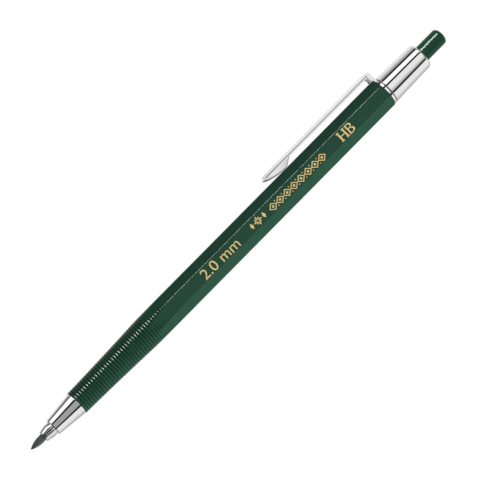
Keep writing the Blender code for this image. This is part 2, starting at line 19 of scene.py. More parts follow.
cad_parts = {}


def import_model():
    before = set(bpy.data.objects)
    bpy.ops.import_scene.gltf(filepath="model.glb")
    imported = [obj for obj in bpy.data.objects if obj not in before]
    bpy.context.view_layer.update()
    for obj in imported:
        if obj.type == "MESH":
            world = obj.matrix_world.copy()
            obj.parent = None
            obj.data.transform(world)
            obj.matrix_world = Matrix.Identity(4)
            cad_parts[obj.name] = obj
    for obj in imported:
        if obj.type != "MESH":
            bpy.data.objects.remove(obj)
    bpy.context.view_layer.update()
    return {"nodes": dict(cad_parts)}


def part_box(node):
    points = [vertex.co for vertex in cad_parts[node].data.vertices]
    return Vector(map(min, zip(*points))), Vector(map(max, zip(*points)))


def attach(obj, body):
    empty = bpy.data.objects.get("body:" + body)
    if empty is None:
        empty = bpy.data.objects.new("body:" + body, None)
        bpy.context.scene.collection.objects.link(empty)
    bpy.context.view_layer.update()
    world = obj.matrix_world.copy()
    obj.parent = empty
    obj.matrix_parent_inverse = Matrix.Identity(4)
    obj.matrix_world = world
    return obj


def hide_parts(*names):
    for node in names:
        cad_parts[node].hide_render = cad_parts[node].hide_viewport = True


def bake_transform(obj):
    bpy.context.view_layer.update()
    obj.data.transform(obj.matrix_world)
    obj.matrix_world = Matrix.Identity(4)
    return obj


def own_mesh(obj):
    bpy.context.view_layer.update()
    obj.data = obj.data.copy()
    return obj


LOG = logging.getLogger("lead_holder")
MM = 0.001
MERGE_DISTANCE = 1e-7
NEAR = 10 * MERGE_DISTANCE
SHARP_ANGLE = math.radians(32)

Point2 = tuple[float, float]
Colour = tuple[float, float, float]


class Body(Enum):
    """Moving bodies of the holder."""

    HOUSING = "housing"
    LEAD = "lead"
    CAP = "cap"
    CLIP = "clip"


class Slot(Enum):
    """Material slots of the record."""

    BARREL_GREEN = "barrel_green"
    BUTTON_GREEN = "button_green"
    CHROME = "chrome"
    CLUTCH_METAL = "clutch_metal"
    SPRING_STEEL = "spring_steel"
    GRAPHITE = "graphite"


# ---- Node trees ----------------------------------------------------------------------
class NodeSheet:
    """A node tree with short calls that add and join its nodes."""

    def __init__(self, tree: bpy.types.NodeTree) -> None:
        """Take over a tree.

        Args:
            tree: The node tree of a material or a world.
        """
        self.tree = tree

    def add(self, kind: str, inputs: dict[str | int, object] | None = None,
            **settings: object) -> bpy.types.Node:
        """Add one node.

        Args:
            kind: The node's type, without its ShaderNode prefix.
            inputs: Values or sockets for its inputs, by name or number.
            **settings: Properties of the node itself.

        Returns:
            The new node.
        """
        node = self.tree.nodes.new(f"ShaderNode{kind}")
        for key, value in settings.items():
            setattr(node, key, value)
        for key, value in (inputs or {}).items():
            if isinstance(value, bpy.types.NodeSocket):
                self.tree.links.new(value, node.inputs[key])
            else:
                node.inputs[key].default_value = value
        return node

    def math(self, operation: str, *values: object, clamp: bool = False) -> bpy.types.NodeSocket:
        """Add a Math node.

        Args:
            operation: The operation's name.
            *values: Numbers or sockets, in the order of the inputs.
            clamp: Whether the result is held between 0 and 1.

        Returns:
            The node's output socket.
        """
        node = self.add("Math", dict(enumerate(values)), operation=operation, use_clamp=clamp)
        return node.outputs[0]

    def spread(self, value: bpy.types.NodeSocket, low: Point2, high: Point2,
               smooth: bool = False) -> bpy.types.NodeSocket:
        """Map a value from one range to another.

        Args:
            value: The socket to map.
            low: The value and its result at the low end.
            high: The value and its result at the high end.
            smooth: Whether the change eases in and out.

        Returns:
            The mapped socket, held between the two results.
        """
        kind = "SMOOTHSTEP" if smooth else "LINEAR"
        inputs = {"Value": value, "From Min": low[0], "From Max": high[0],
                  "To Min": low[1], "To Max": high[1]}
        return self.add("MapRange", inputs, interpolation_type=kind).outputs["Result"]

    def mix(self, factor: bpy.types.NodeSocket, first: object, second: object) -> bpy.types.NodeSocket:
        """Mix two colours.

        Args:
            factor: The socket that mixes them.
            first: The colour or socket at 0.
            second: The colour or socket at 1.

        Returns:
            The colour socket.
        """
        inputs = {0: factor}
        for number, value in ((6, first), (7, second)):
            inputs[number] = (*value, 1.0) if isinstance(value, tuple) else value
        return self.add("Mix", inputs, data_type="RGBA").outputs[2]

    def ramp(self, value: bpy.types.NodeSocket, stops: Sequence[Point2]) -> bpy.types.NodeSocket:
        """Grey levels along a line of stops.

        Args:
            value: The socket that runs along the stops, from 0 to 1.
            stops: The place and the level of each stop, in order.

        Returns:
            The ramp's colour socket.
        """
        node = self.add("ValToRGB", {0: value})
        elements = node.color_ramp.elements
        elements.remove(elements[-1])
        for number, (place, level) in enumerate(stops):
            element = elements[0] if number == 0 else elements.new(place)
            element.position = place
            element.color = (level, level, level, 1.0)
        return node.outputs["Color"]


class SurfaceSheet(NodeSheet):
    """Node tree of a material, with its patterns measured in millimetres."""

    def __init__(self, name: str) -> None:
        """Make the material.

        Args:
            name: The material's name.
        """
        self.material = bpy.data.materials.new(name)
        self.material.use_nodes = True
        super().__init__(self.material.node_tree)
        self.shader = self.tree.nodes["Principled BSDF"]

    def place(self, stretch: Colour = (1.0, 1.0, 1.0)) -> bpy.types.NodeSocket:
        """Object coordinates in millimetres.

        Args:
            stretch: Scale along each axis; a small number draws the pattern out.

        Returns:
            The coordinate socket.
        """
        coordinates = self.add("TexCoord").outputs["Object"]
        scale = tuple(part / MM for part in stretch)
        return self.add("Mapping", {"Vector": coordinates, "Scale": scale}).outputs["Vector"]

    def noise(self, scale: float, detail: float, stretch: Colour = (1.0, 1.0, 1.0)) -> bpy.types.NodeSocket:
        """A noise pattern.

        Args:
            scale: Features per millimetre, roughly.
            detail: Octaves of finer noise.
            stretch: Scale along each axis.

        Returns:
            The pattern's value socket.
        """
        inputs = {"Vector": self.place(stretch), "Scale": scale, "Detail": detail, "Roughness": 0.55}
        return self.add("TexNoise", inputs).outputs[0]

    def set(self, **values: object) -> None:
        """Set or link the shader's sockets.

        Args:
            **values: Values by socket name in lower case with underscores.
        """
        for key, value in values.items():
            socket = self.shader.inputs[key.replace("_", " ").title().replace("Ior", "IOR")]
            if isinstance(value, bpy.types.NodeSocket):
                self.tree.links.new(value, socket)
            else:
                socket.default_value = (*value, 1.0) if isinstance(value, tuple) else value

    def bump(self, height: bpy.types.NodeSocket, depth: float, strength: float) -> None:
        """Raise the surface.

        Args:
            height: The pattern that is raised.
            depth: The height of the pattern in metres.
            strength: How much of it shows.
        """
        inputs = {"Strength": strength, "Distance": depth, "Height": height}
        self.tree.links.new(self.add("Bump", inputs).outputs["Normal"], self.shader.inputs["Normal"])


# ---- Finishes ------------------------------------------------------------------------
@dataclass(frozen=True)
class Lacquer:
    """Glossy green lacquer: cloudy depth of colour, faint ripples, and hollows that are rougher and darkened
    with painted shade.
    """

    name: str
    deep: Colour
    fresh: Colour
    # painted shade: the colour that the bottoms of the grooves are darkened towards
    hollow: Colour
    gloss: float = 0.16
    specular: float = 0.12
    dust: float = 0.22

    def build(self) -> bpy.types.Material:
        """Make the material."""
        sheet = SurfaceSheet(self.name)
        cloud = sheet.spread(sheet.noise(0.32, 5.0), (0.34, 0.0), (0.66, 1.0))
        colour = sheet.mix(cloud, self.deep, self.fresh)
        # how deep each point lies in a groove: it roughens the lacquer there and paints shade into it
        groove_shade_and_dust = sheet.add("Attribute", attribute_name="hollow").outputs["Fac"]
        smear = sheet.spread(sheet.noise(1.4, 3.0, (0.25, 1.0, 1.0)),
                             (0.3, self.gloss - 0.01), (0.7, self.gloss + 0.02))
        dusty = sheet.math("MULTIPLY_ADD", groove_shade_and_dust, self.dust, smear)
        sheet.set(base_color=sheet.mix(groove_shade_and_dust, colour, self.hollow), roughness=dusty,
                  specular_ior_level=self.specular)
        sheet.bump(sheet.noise(0.5, 1.0), 0.001 * MM, 0.2)
        return sheet.material


@dataclass(frozen=True)
class PolishedMetal:
    """Plated or turned metal: fine lathe lines, tiny scratches and a faint haze."""

    name: str
    bright: Colour
    dull: Colour
    gloss: float = 0.06
    haze: float = 0.05
    lines_per_mm: float = 14.0
    line_depth: float = 0.0006 * MM

    def build(self) -> bpy.types.Material:
        """Make the material."""
        sheet = SurfaceSheet(self.name)
        cloud = sheet.spread(sheet.noise(0.8, 4.0, (0.5, 1.0, 1.0)), (0.36, 0.0), (0.7, 1.0))
        scratch = sheet.spread(sheet.noise(2.2, 6.0, (6.0, 0.35, 0.35)), (0.62, 0.0), (0.74, 1.0))
        worn = sheet.math("MAXIMUM", cloud, scratch)
        rough = sheet.spread(worn, (0.0, self.gloss), (1.0, self.gloss + self.haze))
        colour = self.toned(sheet, sheet.mix(cloud, self.bright, self.dull))
        sheet.set(base_color=colour, metallic=1.0, roughness=rough)
        lathe = sheet.noise(self.lines_per_mm, 1.0, (1.0, 0.02, 0.02))
        sheet.bump(lathe, self.line_depth, 0.5)
        return sheet.material

    def toned(self, sheet: SurfaceSheet, colour: bpy.types.NodeSocket) -> bpy.types.NodeSocket:
        """Change the metal's colour from place to place.

        Args:
            sheet: The material's node sheet.
            colour: The metal's colour.

        Returns:
            The colour that is used.
        """
        return colour


@dataclass(frozen=True)
class PressedMetal(PolishedMetal):
    """Plated sheet with painted shade along its folds, drawn over a side view kept in the piece's own UV map.

    Lengths are in millimetres, like the UV map. The reach is the top of the scale on which
    the sole's heights are stored.
    """

    # painted shade: the colour of the line under the shoulders and of the rim along the sole
    shade: Colour = (0.22, 0.22, 0.22)
    fold: Point2 = (0.0, 0.2)
    sole: tuple[Point2, ...] = ((0.0, 0.0), (1.0, 0.0))
    width: float = 0.2
    ends: Point2 = (0.0, 1.0)
    blur: float = 0.04
    reach: float = 10.0

    def toned(self, sheet: SurfaceSheet, colour: bpy.types.NodeSocket) -> bpy.types.NodeSocket:
        """Paint shade on a line under the shoulders and on a rim along the sole.

        Args:
            sheet: The material's node sheet.
            colour: The metal's colour.

        Returns:
            The shaded colour.
        """
        place = sheet.add("SeparateXYZ", {0: sheet.add("UVMap", uv_map="side_view").outputs[0]})
        x, y = place.outputs["X"], place.outputs["Y"]
        line = sheet.math("MULTIPLY", self.step(sheet, y, self.fold[0]),
                          self.step(sheet, y, self.fold[1], falling=True))
        line = sheet.math("MULTIPLY", line, sheet.math("MULTIPLY", self.step(sheet, x, self.ends[0]),
                                                       self.step(sheet, x, self.ends[1], falling=True)))
        first, last = self.sole[0][0], self.sole[-1][0]
        stops = [((along - first) / (last - first), height / self.reach) for along, height in self.sole]
        curve = sheet.ramp(sheet.spread(x, (first, 0.0), (last, 1.0)), stops)
        above = sheet.math("SUBTRACT", y, sheet.math("MULTIPLY", curve, self.reach))
        rim = sheet.math("MULTIPLY", self.step(sheet, above, self.width, falling=True),
                         self.step(sheet, x, last, falling=True))
        return sheet.mix(sheet.math("MAXIMUM", line, rim), colour, self.shade)

    def step(self, sheet: SurfaceSheet, value: bpy.types.NodeSocket, edge: float,
             falling: bool = False) -> bpy.types.NodeSocket:
        """A soft step at an edge.

        Args:
            sheet: The material's node sheet.
            value: The socket that crosses the edge.
            edge: The value at the step's middle.
            falling: Whether it goes from 1 to 0 in place of 0 to 1.

        Returns:
            The step's socket.
        """
        ends = (1.0, 0.0) if falling else (0.0, 1.0)
        return sheet.spread(value, (edge - self.blur, ends[0]), (edge + self.blur, ends[1]))


@dataclass(frozen=True)
class GraphiteCore:
    """Sharpened graphite: dark grey with a dull sheen, grains and sanding lines."""

    name: str = "graphite_core"
    dark: Colour = (0.050, 0.057, 0.055)
    light: Colour = (0.125, 0.138, 0.133)

    def build(self) -> bpy.types.Material:
        """Make the material."""
        sheet = SurfaceSheet(self.name)
        grain = sheet.noise(7.0, 5.0)
        lines = sheet.noise(3.2, 3.0, (0.35, 1.0, 1.0))
        blend = sheet.spread(sheet.math("MULTIPLY_ADD", grain, 0.6, sheet.math("MULTIPLY", lines, 0.4)),
                             (0.38, 0.0), (0.66, 1.0))
        rough = sheet.spread(grain, (0.3, 0.3), (0.7, 0.46))
        sheet.set(base_color=sheet.mix(blend, self.dark, self.light), metallic=0.35, roughness=rough,
                  specular_ior_level=0.5)
        sheet.bump(blend, 0.02 * MM, 0.35)
        return sheet.material


@dataclass(frozen=True)
class GoldFoil:
    """Hot stamped gold foil: mottled metal with a slightly broken surface."""

    name: str = "gold_foil"
    bright: Colour = (1.0, 0.83, 0.40)
    dull: Colour = (1.0, 0.68, 0.24)

    def build(self) -> bpy.types.Material:
        """Make the material."""
        sheet = SurfaceSheet(self.name)
        mottle = sheet.spread(sheet.noise(3.0, 4.0), (0.36, 0.0), (0.64, 1.0))
        rough = sheet.spread(mottle, (0.0, 0.42), (1.0, 0.28))
        sheet.set(base_color=sheet.mix(mottle, self.dull, self.bright), metallic=0.8, roughness=rough)
        sheet.bump(sheet.noise(12.0, 2.0), 0.002 * MM, 0.3)
        return sheet.material


@dataclass(frozen=True)
class PaleFloor:
    """Pale seamless paper that glows a little, so its shadows stay faint."""

    name: str = "pale_floor"
    paper: Colour = (0.93, 0.93, 0.93)
    glow: float = 0.93
    share: float = 0.25
    fibre: float = 0.99

    def build(self) -> bpy.types.Material:
        """Make the material."""
        sheet = SurfaceSheet(self.name)
        grain = sheet.spread(sheet.noise(0.6, 3.0), (0.3, 0.0), (0.7, 1.0))
        dim = tuple(part * self.share * self.fibre for part in self.paper)
        full = tuple(part * self.share for part in self.paper)
        sheet.set(base_color=sheet.mix(grain, dim, full), roughness=0.9, specular_ior_level=0.0,
                  emission_color=(1.0, 1.0, 1.0), emission_strength=self.glow)
        return sheet.material


class Palette:
    """The finishes of the holder, each made once.

    Attributes:
        plating: Tones of the bright plating, shared by every plated piece.
    """

    plating = {"bright": (0.95, 0.95, 0.95), "dull": (0.91, 0.915, 0.92), "gloss": 0.03, "haze": 0.02}

    def __init__(self) -> None:
        """Make every material."""
        # The third colour of each lacquer is painted shade, which darkens the bottoms of the grooves.
        self.barrel = Lacquer("barrel_lacquer", (0.0152, 0.066, 0.0388), (0.0172, 0.072, 0.043),
                              (0.004, 0.018, 0.010)).build()
        self.button = Lacquer("button_lacquer", (0.0185, 0.096, 0.057), (0.021, 0.103, 0.062),
                              (0.006, 0.026, 0.015), gloss=0.10).build()
        self.chrome = PolishedMetal("bright_chrome", **self.plating).build()
        self.recess = PolishedMetal("shaded_recess", (0.03, 0.03, 0.03), (0.015, 0.015, 0.015), gloss=0.5,
                                    haze=0.2).build()
        self.clutch = PolishedMetal("clutch_nickel", (0.90, 0.895, 0.88), (0.80, 0.795, 0.78), gloss=0.05,
                                    haze=0.06, lines_per_mm=10.0, line_depth=0.001 * MM).build()
        self.brass = PolishedMetal("turned_brass", (0.80, 0.60, 0.28), (0.62, 0.44, 0.18), gloss=0.2,
                                   haze=0.15, lines_per_mm=8.0, line_depth=0.004 * MM).build()
        self.steel = PolishedMetal("spring_wire", (0.60, 0.60, 0.61), (0.40, 0.40, 0.42), gloss=0.25,
                                   haze=0.15, lines_per_mm=9.0, line_depth=0.003 * MM).build()
        self.graphite = GraphiteCore().build()
        self.foil = GoldFoil().build()
        self.floor = PaleFloor().build()


# ---- Mesh helpers --------------------------------------------------------------------
def arc(centre: Point2, radii: Point2, first: float, last: float, steps: int) -> list[Point2]:
    """Points of an elliptical arc.

    Args:
        centre: The centre of the ellipse.
        radii: Its two half axes.
        first: The first angle in degrees.
        last: The last angle in degrees.
        steps: The number of segments.

    Returns:
        The points from first to last.
    """
    angles = [math.radians(first + (last - first) * i / steps) for i in range(steps + 1)]
    return [(centre[0] + radii[0] * math.cos(a), centre[1] + radii[1] * math.sin(a)) for a in angles]


def make_piece(bm: bmesh.types.BMesh, name: str) -> bpy.types.Object:
    """Turn a bmesh into a smooth-shaded object at the origin.

    Args:
        bm: The bmesh, which is used up.
        name: The piece's name.

    Returns:
        The new object.
    """
    bmesh.ops.recalc_face_normals(bm, faces=bm.faces)
    mesh = bpy.data.meshes.new(name)
    bm.to_mesh(mesh)
    bm.free()
    mesh.shade_smooth()
    mesh.set_sharp_from_angle(angle=SHARP_ANGLE)
    piece = bpy.data.objects.new(name, mesh)
    bpy.context.scene.collection.objects.link(piece)
    return piece


def dress(piece: bpy.types.Object, material: bpy.types.Material, body: str, slot: Slot | None,
          *nodes: str) -> bpy.types.Object:
    """Give a piece its finish and its place in the frame.

    Args:
        piece: The finished piece.
        material: Its material.
        body: The CAD body that it rides on.
        slot: The record's material slot that it stands for.
        *nodes: CAD nodes that it replaces.

    Returns:
        The same piece.
    """
    piece.data.materials.clear()
    piece.data.materials.append(material)
    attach(piece, body)
    return note(piece, slot, *nodes)


def shade_faces(piece: bpy.types.Object, material: bpy.types.Material,
                chosen: Callable[[bpy.types.MeshPolygon], bool]) -> None:
    """Give some faces of a piece a second material.

    Args:
        piece: The piece.
        material: The second material.
        chosen: Tells which faces get it.
    """
    piece.data.materials.append(material)
    for face in piece.data.polygons:
        if chosen(face):
            face.material_index = 1


def note(piece: bpy.types.Object, slot: Slot | None, *nodes: str) -> bpy.types.Object:
    """Hide the CAD nodes that a piece replaces, and log the piece's face count and those nodes.

    Args:
        piece: The piece.
        slot: The record's material slot; not used.
        *nodes: CAD nodes that it replaces.

    Returns:
        The same piece.
    """
    if nodes:
        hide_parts(*nodes)
    LOG.info("%s: %d faces, replaces %s", piece.name, len(piece.data.polygons), ", ".join(nodes) or "nothing")
    return piece


def axis_height() -> float:
    """Height of the holder's axis above the floor.

    Returns:
        The height in metres.
    """
    low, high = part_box("barrel")
    return (low.z + high.z) / 2


def turned(outline: Sequence[Point2], steps: int) -> bmesh.types.BMesh:
    """A solid of revolution about the holder's axis.

    Args:
        outline: Points of station and radius; closed by itself, or from axis to axis.
        steps: Segments of the full turn.

    Returns:
        The new bmesh.
    """
    height = axis_height()
    bm = bmesh.new()
    points = [bm.verts.new((x, 0.0, height + radius)) for x, radius in outline]
    edges = [bm.edges.new(pair) for pair in zip(points, points[1:])]
    if outline[0][1] > 0:
        edges.append(bm.edges.new((points[-1], points[0])))
    bmesh.ops.spin(bm, geom=points + edges, cent=(0, 0, height), axis=(1, 0, 0), angle=2 * math.pi,
                   steps=steps, use_merge=True)
    bmesh.ops.remove_doubles(bm, verts=bm.verts, dist=MERGE_DISTANCE)
    return bm


def slab(outline: Sequence[Point2], width: float) -> bmesh.types.BMesh:
    """A side view of station and distance from the axis, extruded along Z about the axis.

    Args:
        outline: The closed outline's points.
        width: The width along Z.

    Returns:
        The new bmesh.
    """
    bm = bmesh.new()
    points = [bm.verts.new((x, y, axis_height() - width / 2)) for x, y in outline]
    face = bm.faces.new(points)
    grown = bmesh.ops.extrude_face_region(bm, geom=[face])
    lifted = [item for item in grown["geom"] if isinstance(item, bmesh.types.BMVert)]
    bmesh.ops.translate(bm, verts=lifted, vec=(0.0, 0.0, width))
    bmesh.ops.recalc_face_normals(bm, faces=bm.faces)
    return bm


def applied(piece: bpy.types.Object) -> bpy.types.Object:
    """Replace a piece's mesh by the result of its modifiers.

    Args:
        piece: The piece, with its modifiers live.

    Returns:
        The same piece with no modifiers.
    """
    bpy.context.view_layer.update()
    graph = bpy.context.evaluated_depsgraph_get()
    mesh = bpy.data.meshes.new_from_object(piece.evaluated_get(graph))
    piece.modifiers.clear()
    piece.data = mesh
    return piece


def combined(base: bpy.types.Object, operation: str, tool: bpy.types.Object) -> bpy.types.Object:
    """Join or carve one closed piece with another, which is then removed.

    Args:
        base: The piece that stays.
        operation: UNION or DIFFERENCE.
        tool: The other piece.

    Returns:
        The base piece.
    """
    cut = base.modifiers.new("work", "BOOLEAN")
    cut.operation = operation
    cut.solver = "EXACT"
    cut.object = tool
    applied(base)
    bpy.data.objects.remove(tool)
    return base


def soft_min(first: float, second: float, width: float) -> float:
    """The smaller of two numbers, eased where they are close.

    Args:
        first: One number.
        second: The other number.
        width: How close they have to be for the easing to show.

    Returns:
        The eased smaller number.
    """
    low, high = min(first, second), max(first, second)
    return low - width * math.log1p(math.exp(-(high - low) / width))


# ---- Barrel --------------------------------------------------------------------------
@dataclass
class Barrel:
    """Octagonal lacquered barrel with a ringed, flared front and a stepped bore."""

    edge_radius: float = 0.35 * MM
    front_radius: float = 3.45 * MM
    grip_to_flats: float = 26.8 * MM
    grip_to_edges: float = 33.5 * MM
    groove_count: int = 40
    groove_depth: float = 0.16 * MM
    last_groove: float = 0.06 * MM
    end_step: float = 0.3 * MM
    end_round: float = 1.0 * MM
    front_break: float = 0.08 * MM
    bore: float = 2.59 * MM
    seat: float = 2.89 * MM
    seat_depths: Point2 = (12.05 * MM, 10.05 * MM)
    blend_width: float = 0.01 * MM
    clearance: float = 0.01 * MM
    plain_steps: int = 6
    steps_per_flat: int = 14
    steps_per_edge: int = 8
    ridge: tuple[Point2, ...] = ((0.0, 0.0), (0.07, 0.34), (0.15, 0.7), (0.28, 0.94), (0.5, 1.0),
                                 (0.72, 0.94), (0.85, 0.7), (0.93, 0.34))
    half_side: float = math.radians(22.5)

    def __post_init__(self) -> None:
        """Take the barrel's ends and its size across flats from the frame."""
        low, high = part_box("barrel")
        self.front, self.rear = low.x, high.x
        self.flat = (high.z - low.z) / 2
        self.height = (high.z + low.z) / 2
        self.edge_angle = math.atan((self.flat - self.edge_radius) * math.tan(self.half_side) / self.flat)
        self.corner = self.octagon(self.half_side)

    def octagon(self, angle: float) -> float:
        """Distance from the axis to the octagon with its rounded edges.

        Args:
            angle: Direction about the axis.

        Returns:
            The distance in that direction.
        """
        off = abs((angle + self.half_side) % (2 * self.half_side) - self.half_side)
        if off <= self.edge_angle:
            return self.flat / math.cos(off)
        centre = (self.flat - self.edge_radius) / math.cos(self.half_side)
        turn = self.half_side - off
        return centre * math.cos(turn) + math.sqrt(self.edge_radius ** 2 - (centre * math.sin(turn)) ** 2)

    def crest(self, distance: float) -> float:
        """Radius of the rings' crests.

        Args:
            distance: Distance behind the barrel's front.

        Returns:
            The radius, on a parabola that sinks into the flats first and into the edges last.
        """
        fade = self.groove_depth - self.last_groove
        at_flats = self.flat + fade
        at_edges = self.corner + fade
        first = (at_flats - self.front_radius) / self.grip_to_flats
        second = (at_edges - at_flats) / (self.grip_to_edges - self.grip_to_flats)
        bend = (second - first) / self.grip_to_edges
        return self.front_radius + distance * (first + bend * (distance - self.grip_to_flats))

    def limits(self) -> list[Point2]:
        """Radii that the octagon is turned down to.

        Returns:
            Stations and radii from front to rear.
        """
        pitch = self.grip_to_edges / self.groove_count
        valley = self.crest(0.0) - self.groove_depth
        stations = [(self.front, valley - self.front_break)]
        for number in range(self.groove_count):
            for share, fill in self.ridge:
                distance = (number + share) * pitch + (self.front_break if number + share == 0 else 0.0)
                radius = self.crest(distance) - self.groove_depth * (1 - fill)
                stations.append((self.front + distance, radius))
        clear = self.corner + self.groove_depth
        first = self.front + self.grip_to_edges
        last = self.rear - self.end_round
        stations += [(first + (last - first) * i / self.plain_steps, clear) for i in range(self.plain_steps)]
        end_radius = self.flat - self.end_step
        rise = self.corner + self.clearance - end_radius
        stations += arc((last, end_radius), (self.end_round, rise), 90, 0, 10)
        return stations

    def build(self) -> bpy.types.Object:
        """Make the barrel's shell."""
        seats = (self.front + self.seat_depths[0], self.rear - self.seat_depths[1])
        inner = [(self.rear, self.seat), (seats[1], self.seat), (seats[1], self.bore),
                 (seats[0], self.bore), (seats[0], self.seat), (self.front, self.seat)]
        steps = 8 * (self.steps_per_flat + self.steps_per_edge)
        bm = turned(self.limits() + inner, steps)
        # How deep each vertex lies in a groove; by this the lacquer is roughened and painted with shade
        # there.
        hollow = bm.verts.layers.float.new("hollow")
        for vert in bm.verts:
            radius = math.hypot(vert.co.y, vert.co.z - self.height)
            angle = self.clustered(math.atan2(vert.co.y, vert.co.z - self.height))
            if radius > self.seat + NEAR:
                distance = vert.co.x - self.front
                shape = self.octagon(angle)
                if distance < self.grip_to_edges and radius < shape:
                    vert[hollow] = (self.crest(distance) - radius) / self.groove_depth
                radius = soft_min(radius, shape, self.blend_width)
            vert.co.y = radius * math.sin(angle)
            vert.co.z = self.height + radius * math.cos(angle)
        return make_piece(bm, "barrel_shell")

    def clustered(self, angle: float) -> float:
        """Move an evenly spaced direction so that more of them fall on the rounded edges.

        Args:
            angle: One of the spin's even directions.

        Returns:
            The direction that takes its place.
        """
        side = round(angle / (2 * self.half_side))
        off = angle - side * 2 * self.half_side
        share = abs(off) / self.half_side
        flat_share = self.steps_per_flat / (self.steps_per_flat + self.steps_per_edge)
        if share <= flat_share:
            moved = self.edge_angle * share / flat_share
        else:
            rest = (share - flat_share) / (1 - flat_share)
            moved = self.edge_angle + (self.half_side - self.edge_angle) * rest
        return side * 2 * self.half_side + math.copysign(moved, off)

    def dress(self, palette: Palette) -> None:
        """Build the barrel and put it in the frame."""
        dress(self.build(), palette.barrel, Body.HOUSING.value, Slot.BARREL_GREEN, "barrel")


@dataclass
class GoldPrint:
    """Stamped gold marks on the label flat: lead size, a flower, a lozenge border and a grade."""

    thickness: float = 0.012 * MM
    sink: float = 0.006 * MM
    base_line: float = -1.52 * MM
    letter_height: float = 2.75 * MM
    size_span: Point2 = (-14.2 * MM, -1.3 * MM)
    flower_span: Point2 = (3.4 * MM, 9.0 * MM)
    border_span: Point2 = (10.3 * MM, 30.9 * MM)
    grade_span: Point2 = (36.3 * MM, 41.3 * MM)
    stroke: float = 0.24 * MM
    border_height: float = 2.3 * MM
    links: int = 8
    stem: float = 0.19
    hair: float = 0.09
    serif: float = 0.07
    petals: int = 8
    petal_lengths: Point2 = (1.35 * MM, 1.05 * MM)
    petal_half_width: float = 0.24 * MM
    bud: Point2 = (0.5 * MM, 0.9 * MM)
    bud_place: float = 2.15 * MM
    dot: float = 0.2 * MM

    def lettering(self, name: str, text: str, span: Point2) -> bpy.types.Object:
        """Flat letters that fill a stretch of the label.

        Args:
            name: The piece's name.
            text: The generic words or numbers.
            span: The stations of its two ends.

        Returns:
            The letters as a mesh.
        """
        curve = bpy.data.curves.new(name, "FONT")
        curve.body = text
        curve.size = 1.0
        curve.extrude = 0.01
        source = bpy.data.objects.new(name + "_source", curve)
        bpy.context.scene.collection.objects.link(source)
        bpy.context.view_layer.update()
        mesh = bpy.data.meshes.new_from_object(source.evaluated_get(bpy.context.evaluated_depsgraph_get()))
        bpy.data.objects.remove(source)
        bm = bmesh.new()
        bm.from_mesh(mesh)
        bmesh.ops.remove_doubles(bm, verts=bm.verts, dist=1e-5)
        low = [min(v.co[k] for v in bm.verts) for k in range(3)]
        high = [max(v.co[k] for v in bm.verts) for k in range(3)]
        scale = ((span[1] - span[0]) / (high[0] - low[0]), self.letter_height / (high[1] - low[1]),
                 self.thickness / (high[2] - low[2]))
        bmesh.ops.translate(bm, verts=bm.verts, vec=tuple(-part for part in low))
        bmesh.ops.scale(bm, verts=bm.verts, vec=scale)
        bmesh.ops.translate(bm, verts=bm.verts, vec=(span[0], self.base_line, self.level()))
        return make_piece(bm, name)

    def grade(self) -> bpy.types.Object:
        """The lead's grade in letters with serifs, drawn on a unit square each.

        Returns:
            The letters as one piece.
        """
        thick, thin, foot = self.stem, self.hair, self.serif
        x = (0.0, foot, foot + thick, 2 * foot + thick)
        h_side = [(x[3], 0), (x[3], thin), (x[2], thin), (x[2], 0.5 - thin / 2)]
        h_half = h_side + [(1 - a, b) for a, b in reversed(h_side)]
        h_half += [(1, 0), (1, thin), (1 - foot, thin), (1 - foot, 1 - thin), (1, 1 - thin), (1, 1)]
        letter_h = h_half + [(1 - a, 1 - b) for a, b in h_half]
        waist = 0.53
        bows = (arc((0.5, waist / 2), (0.5, waist / 2), -90, 90, 16),
                arc((0.48, (1 + waist) / 2), (0.44, (1 - waist) / 2), -90, 90, 16)[1:])
        letter_b = [(0, 0), *bows[0], *bows[1], (0, 1), (0, 1 - thin), (foot, 1 - thin), (foot, thin),
                    (0, thin)]
        holes = []
        for low, high, middle in ((thin, waist - thin / 2, 0.48), (waist + thin / 2, 1 - thin, 0.44)):
            bow = arc((middle, (low + high) / 2), (0.26, (high - low) / 2), -90, 90, 12)
            holes.append([(x[2], low), *bow, (x[2], high)])
        length = self.grade_span[1] - self.grade_span[0]
        bm = bmesh.new()
        for start, width, loops in ((0.0, 0.53, [letter_h]), (0.58, 0.42, [letter_b, *holes])):
            edges = []
            for loop in loops:
                points = [bm.verts.new((self.grade_span[0] + length * (start + width * a),
                                        self.base_line + self.letter_height * b, 0.0)) for a, b in loop]
                edges += [bm.edges.new(pair) for pair in zip(points, points[1:] + points[:1])]
            bmesh.ops.triangle_fill(bm, use_beauty=True, edges=edges, normal=(0, 0, 1))
        return self.stamped(bm, "gold_grade_mark")

    def level(self) -> float:
        """Height of the foil's underside, just below the label flat."""
        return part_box("barrel")[1].z - self.sink

    def lozenge(self, bm: bmesh.types.BMesh, spot: Point2, half: Point2) -> list[bmesh.types.BMVert]:
        """Add a flat solid lozenge of foil.

        Args:
            bm: The bmesh that gets it.
            spot: The station and side of its middle.
            half: Its half length and half height.

        Returns:
            Its four corners.
        """
        made = bmesh.ops.create_circle(bm, cap_ends=True, segments=4, radius=1.0)["verts"]
        bmesh.ops.scale(bm, verts=made, vec=(*half, 1.0))
        bmesh.ops.translate(bm, verts=made, vec=(*spot, 0.0))
        return made

    def stamped(self, bm: bmesh.types.BMesh, name: str) -> bpy.types.Object:
        """Give flat foil its thickness and lay it on the label flat.

        Args:
            bm: The flat foil, which is used up.
            name: The piece's name.

        Returns:
            The finished mark.
        """
        grown = bmesh.ops.extrude_face_region(bm, geom=bm.faces[:])
        lifted = [item for item in grown["geom"] if isinstance(item, bmesh.types.BMVert)]
        bmesh.ops.translate(bm, verts=lifted, vec=(0.0, 0.0, self.thickness))
        bmesh.ops.translate(bm, verts=bm.verts, vec=(0.0, 0.0, self.level()))
        return make_piece(bm, name)

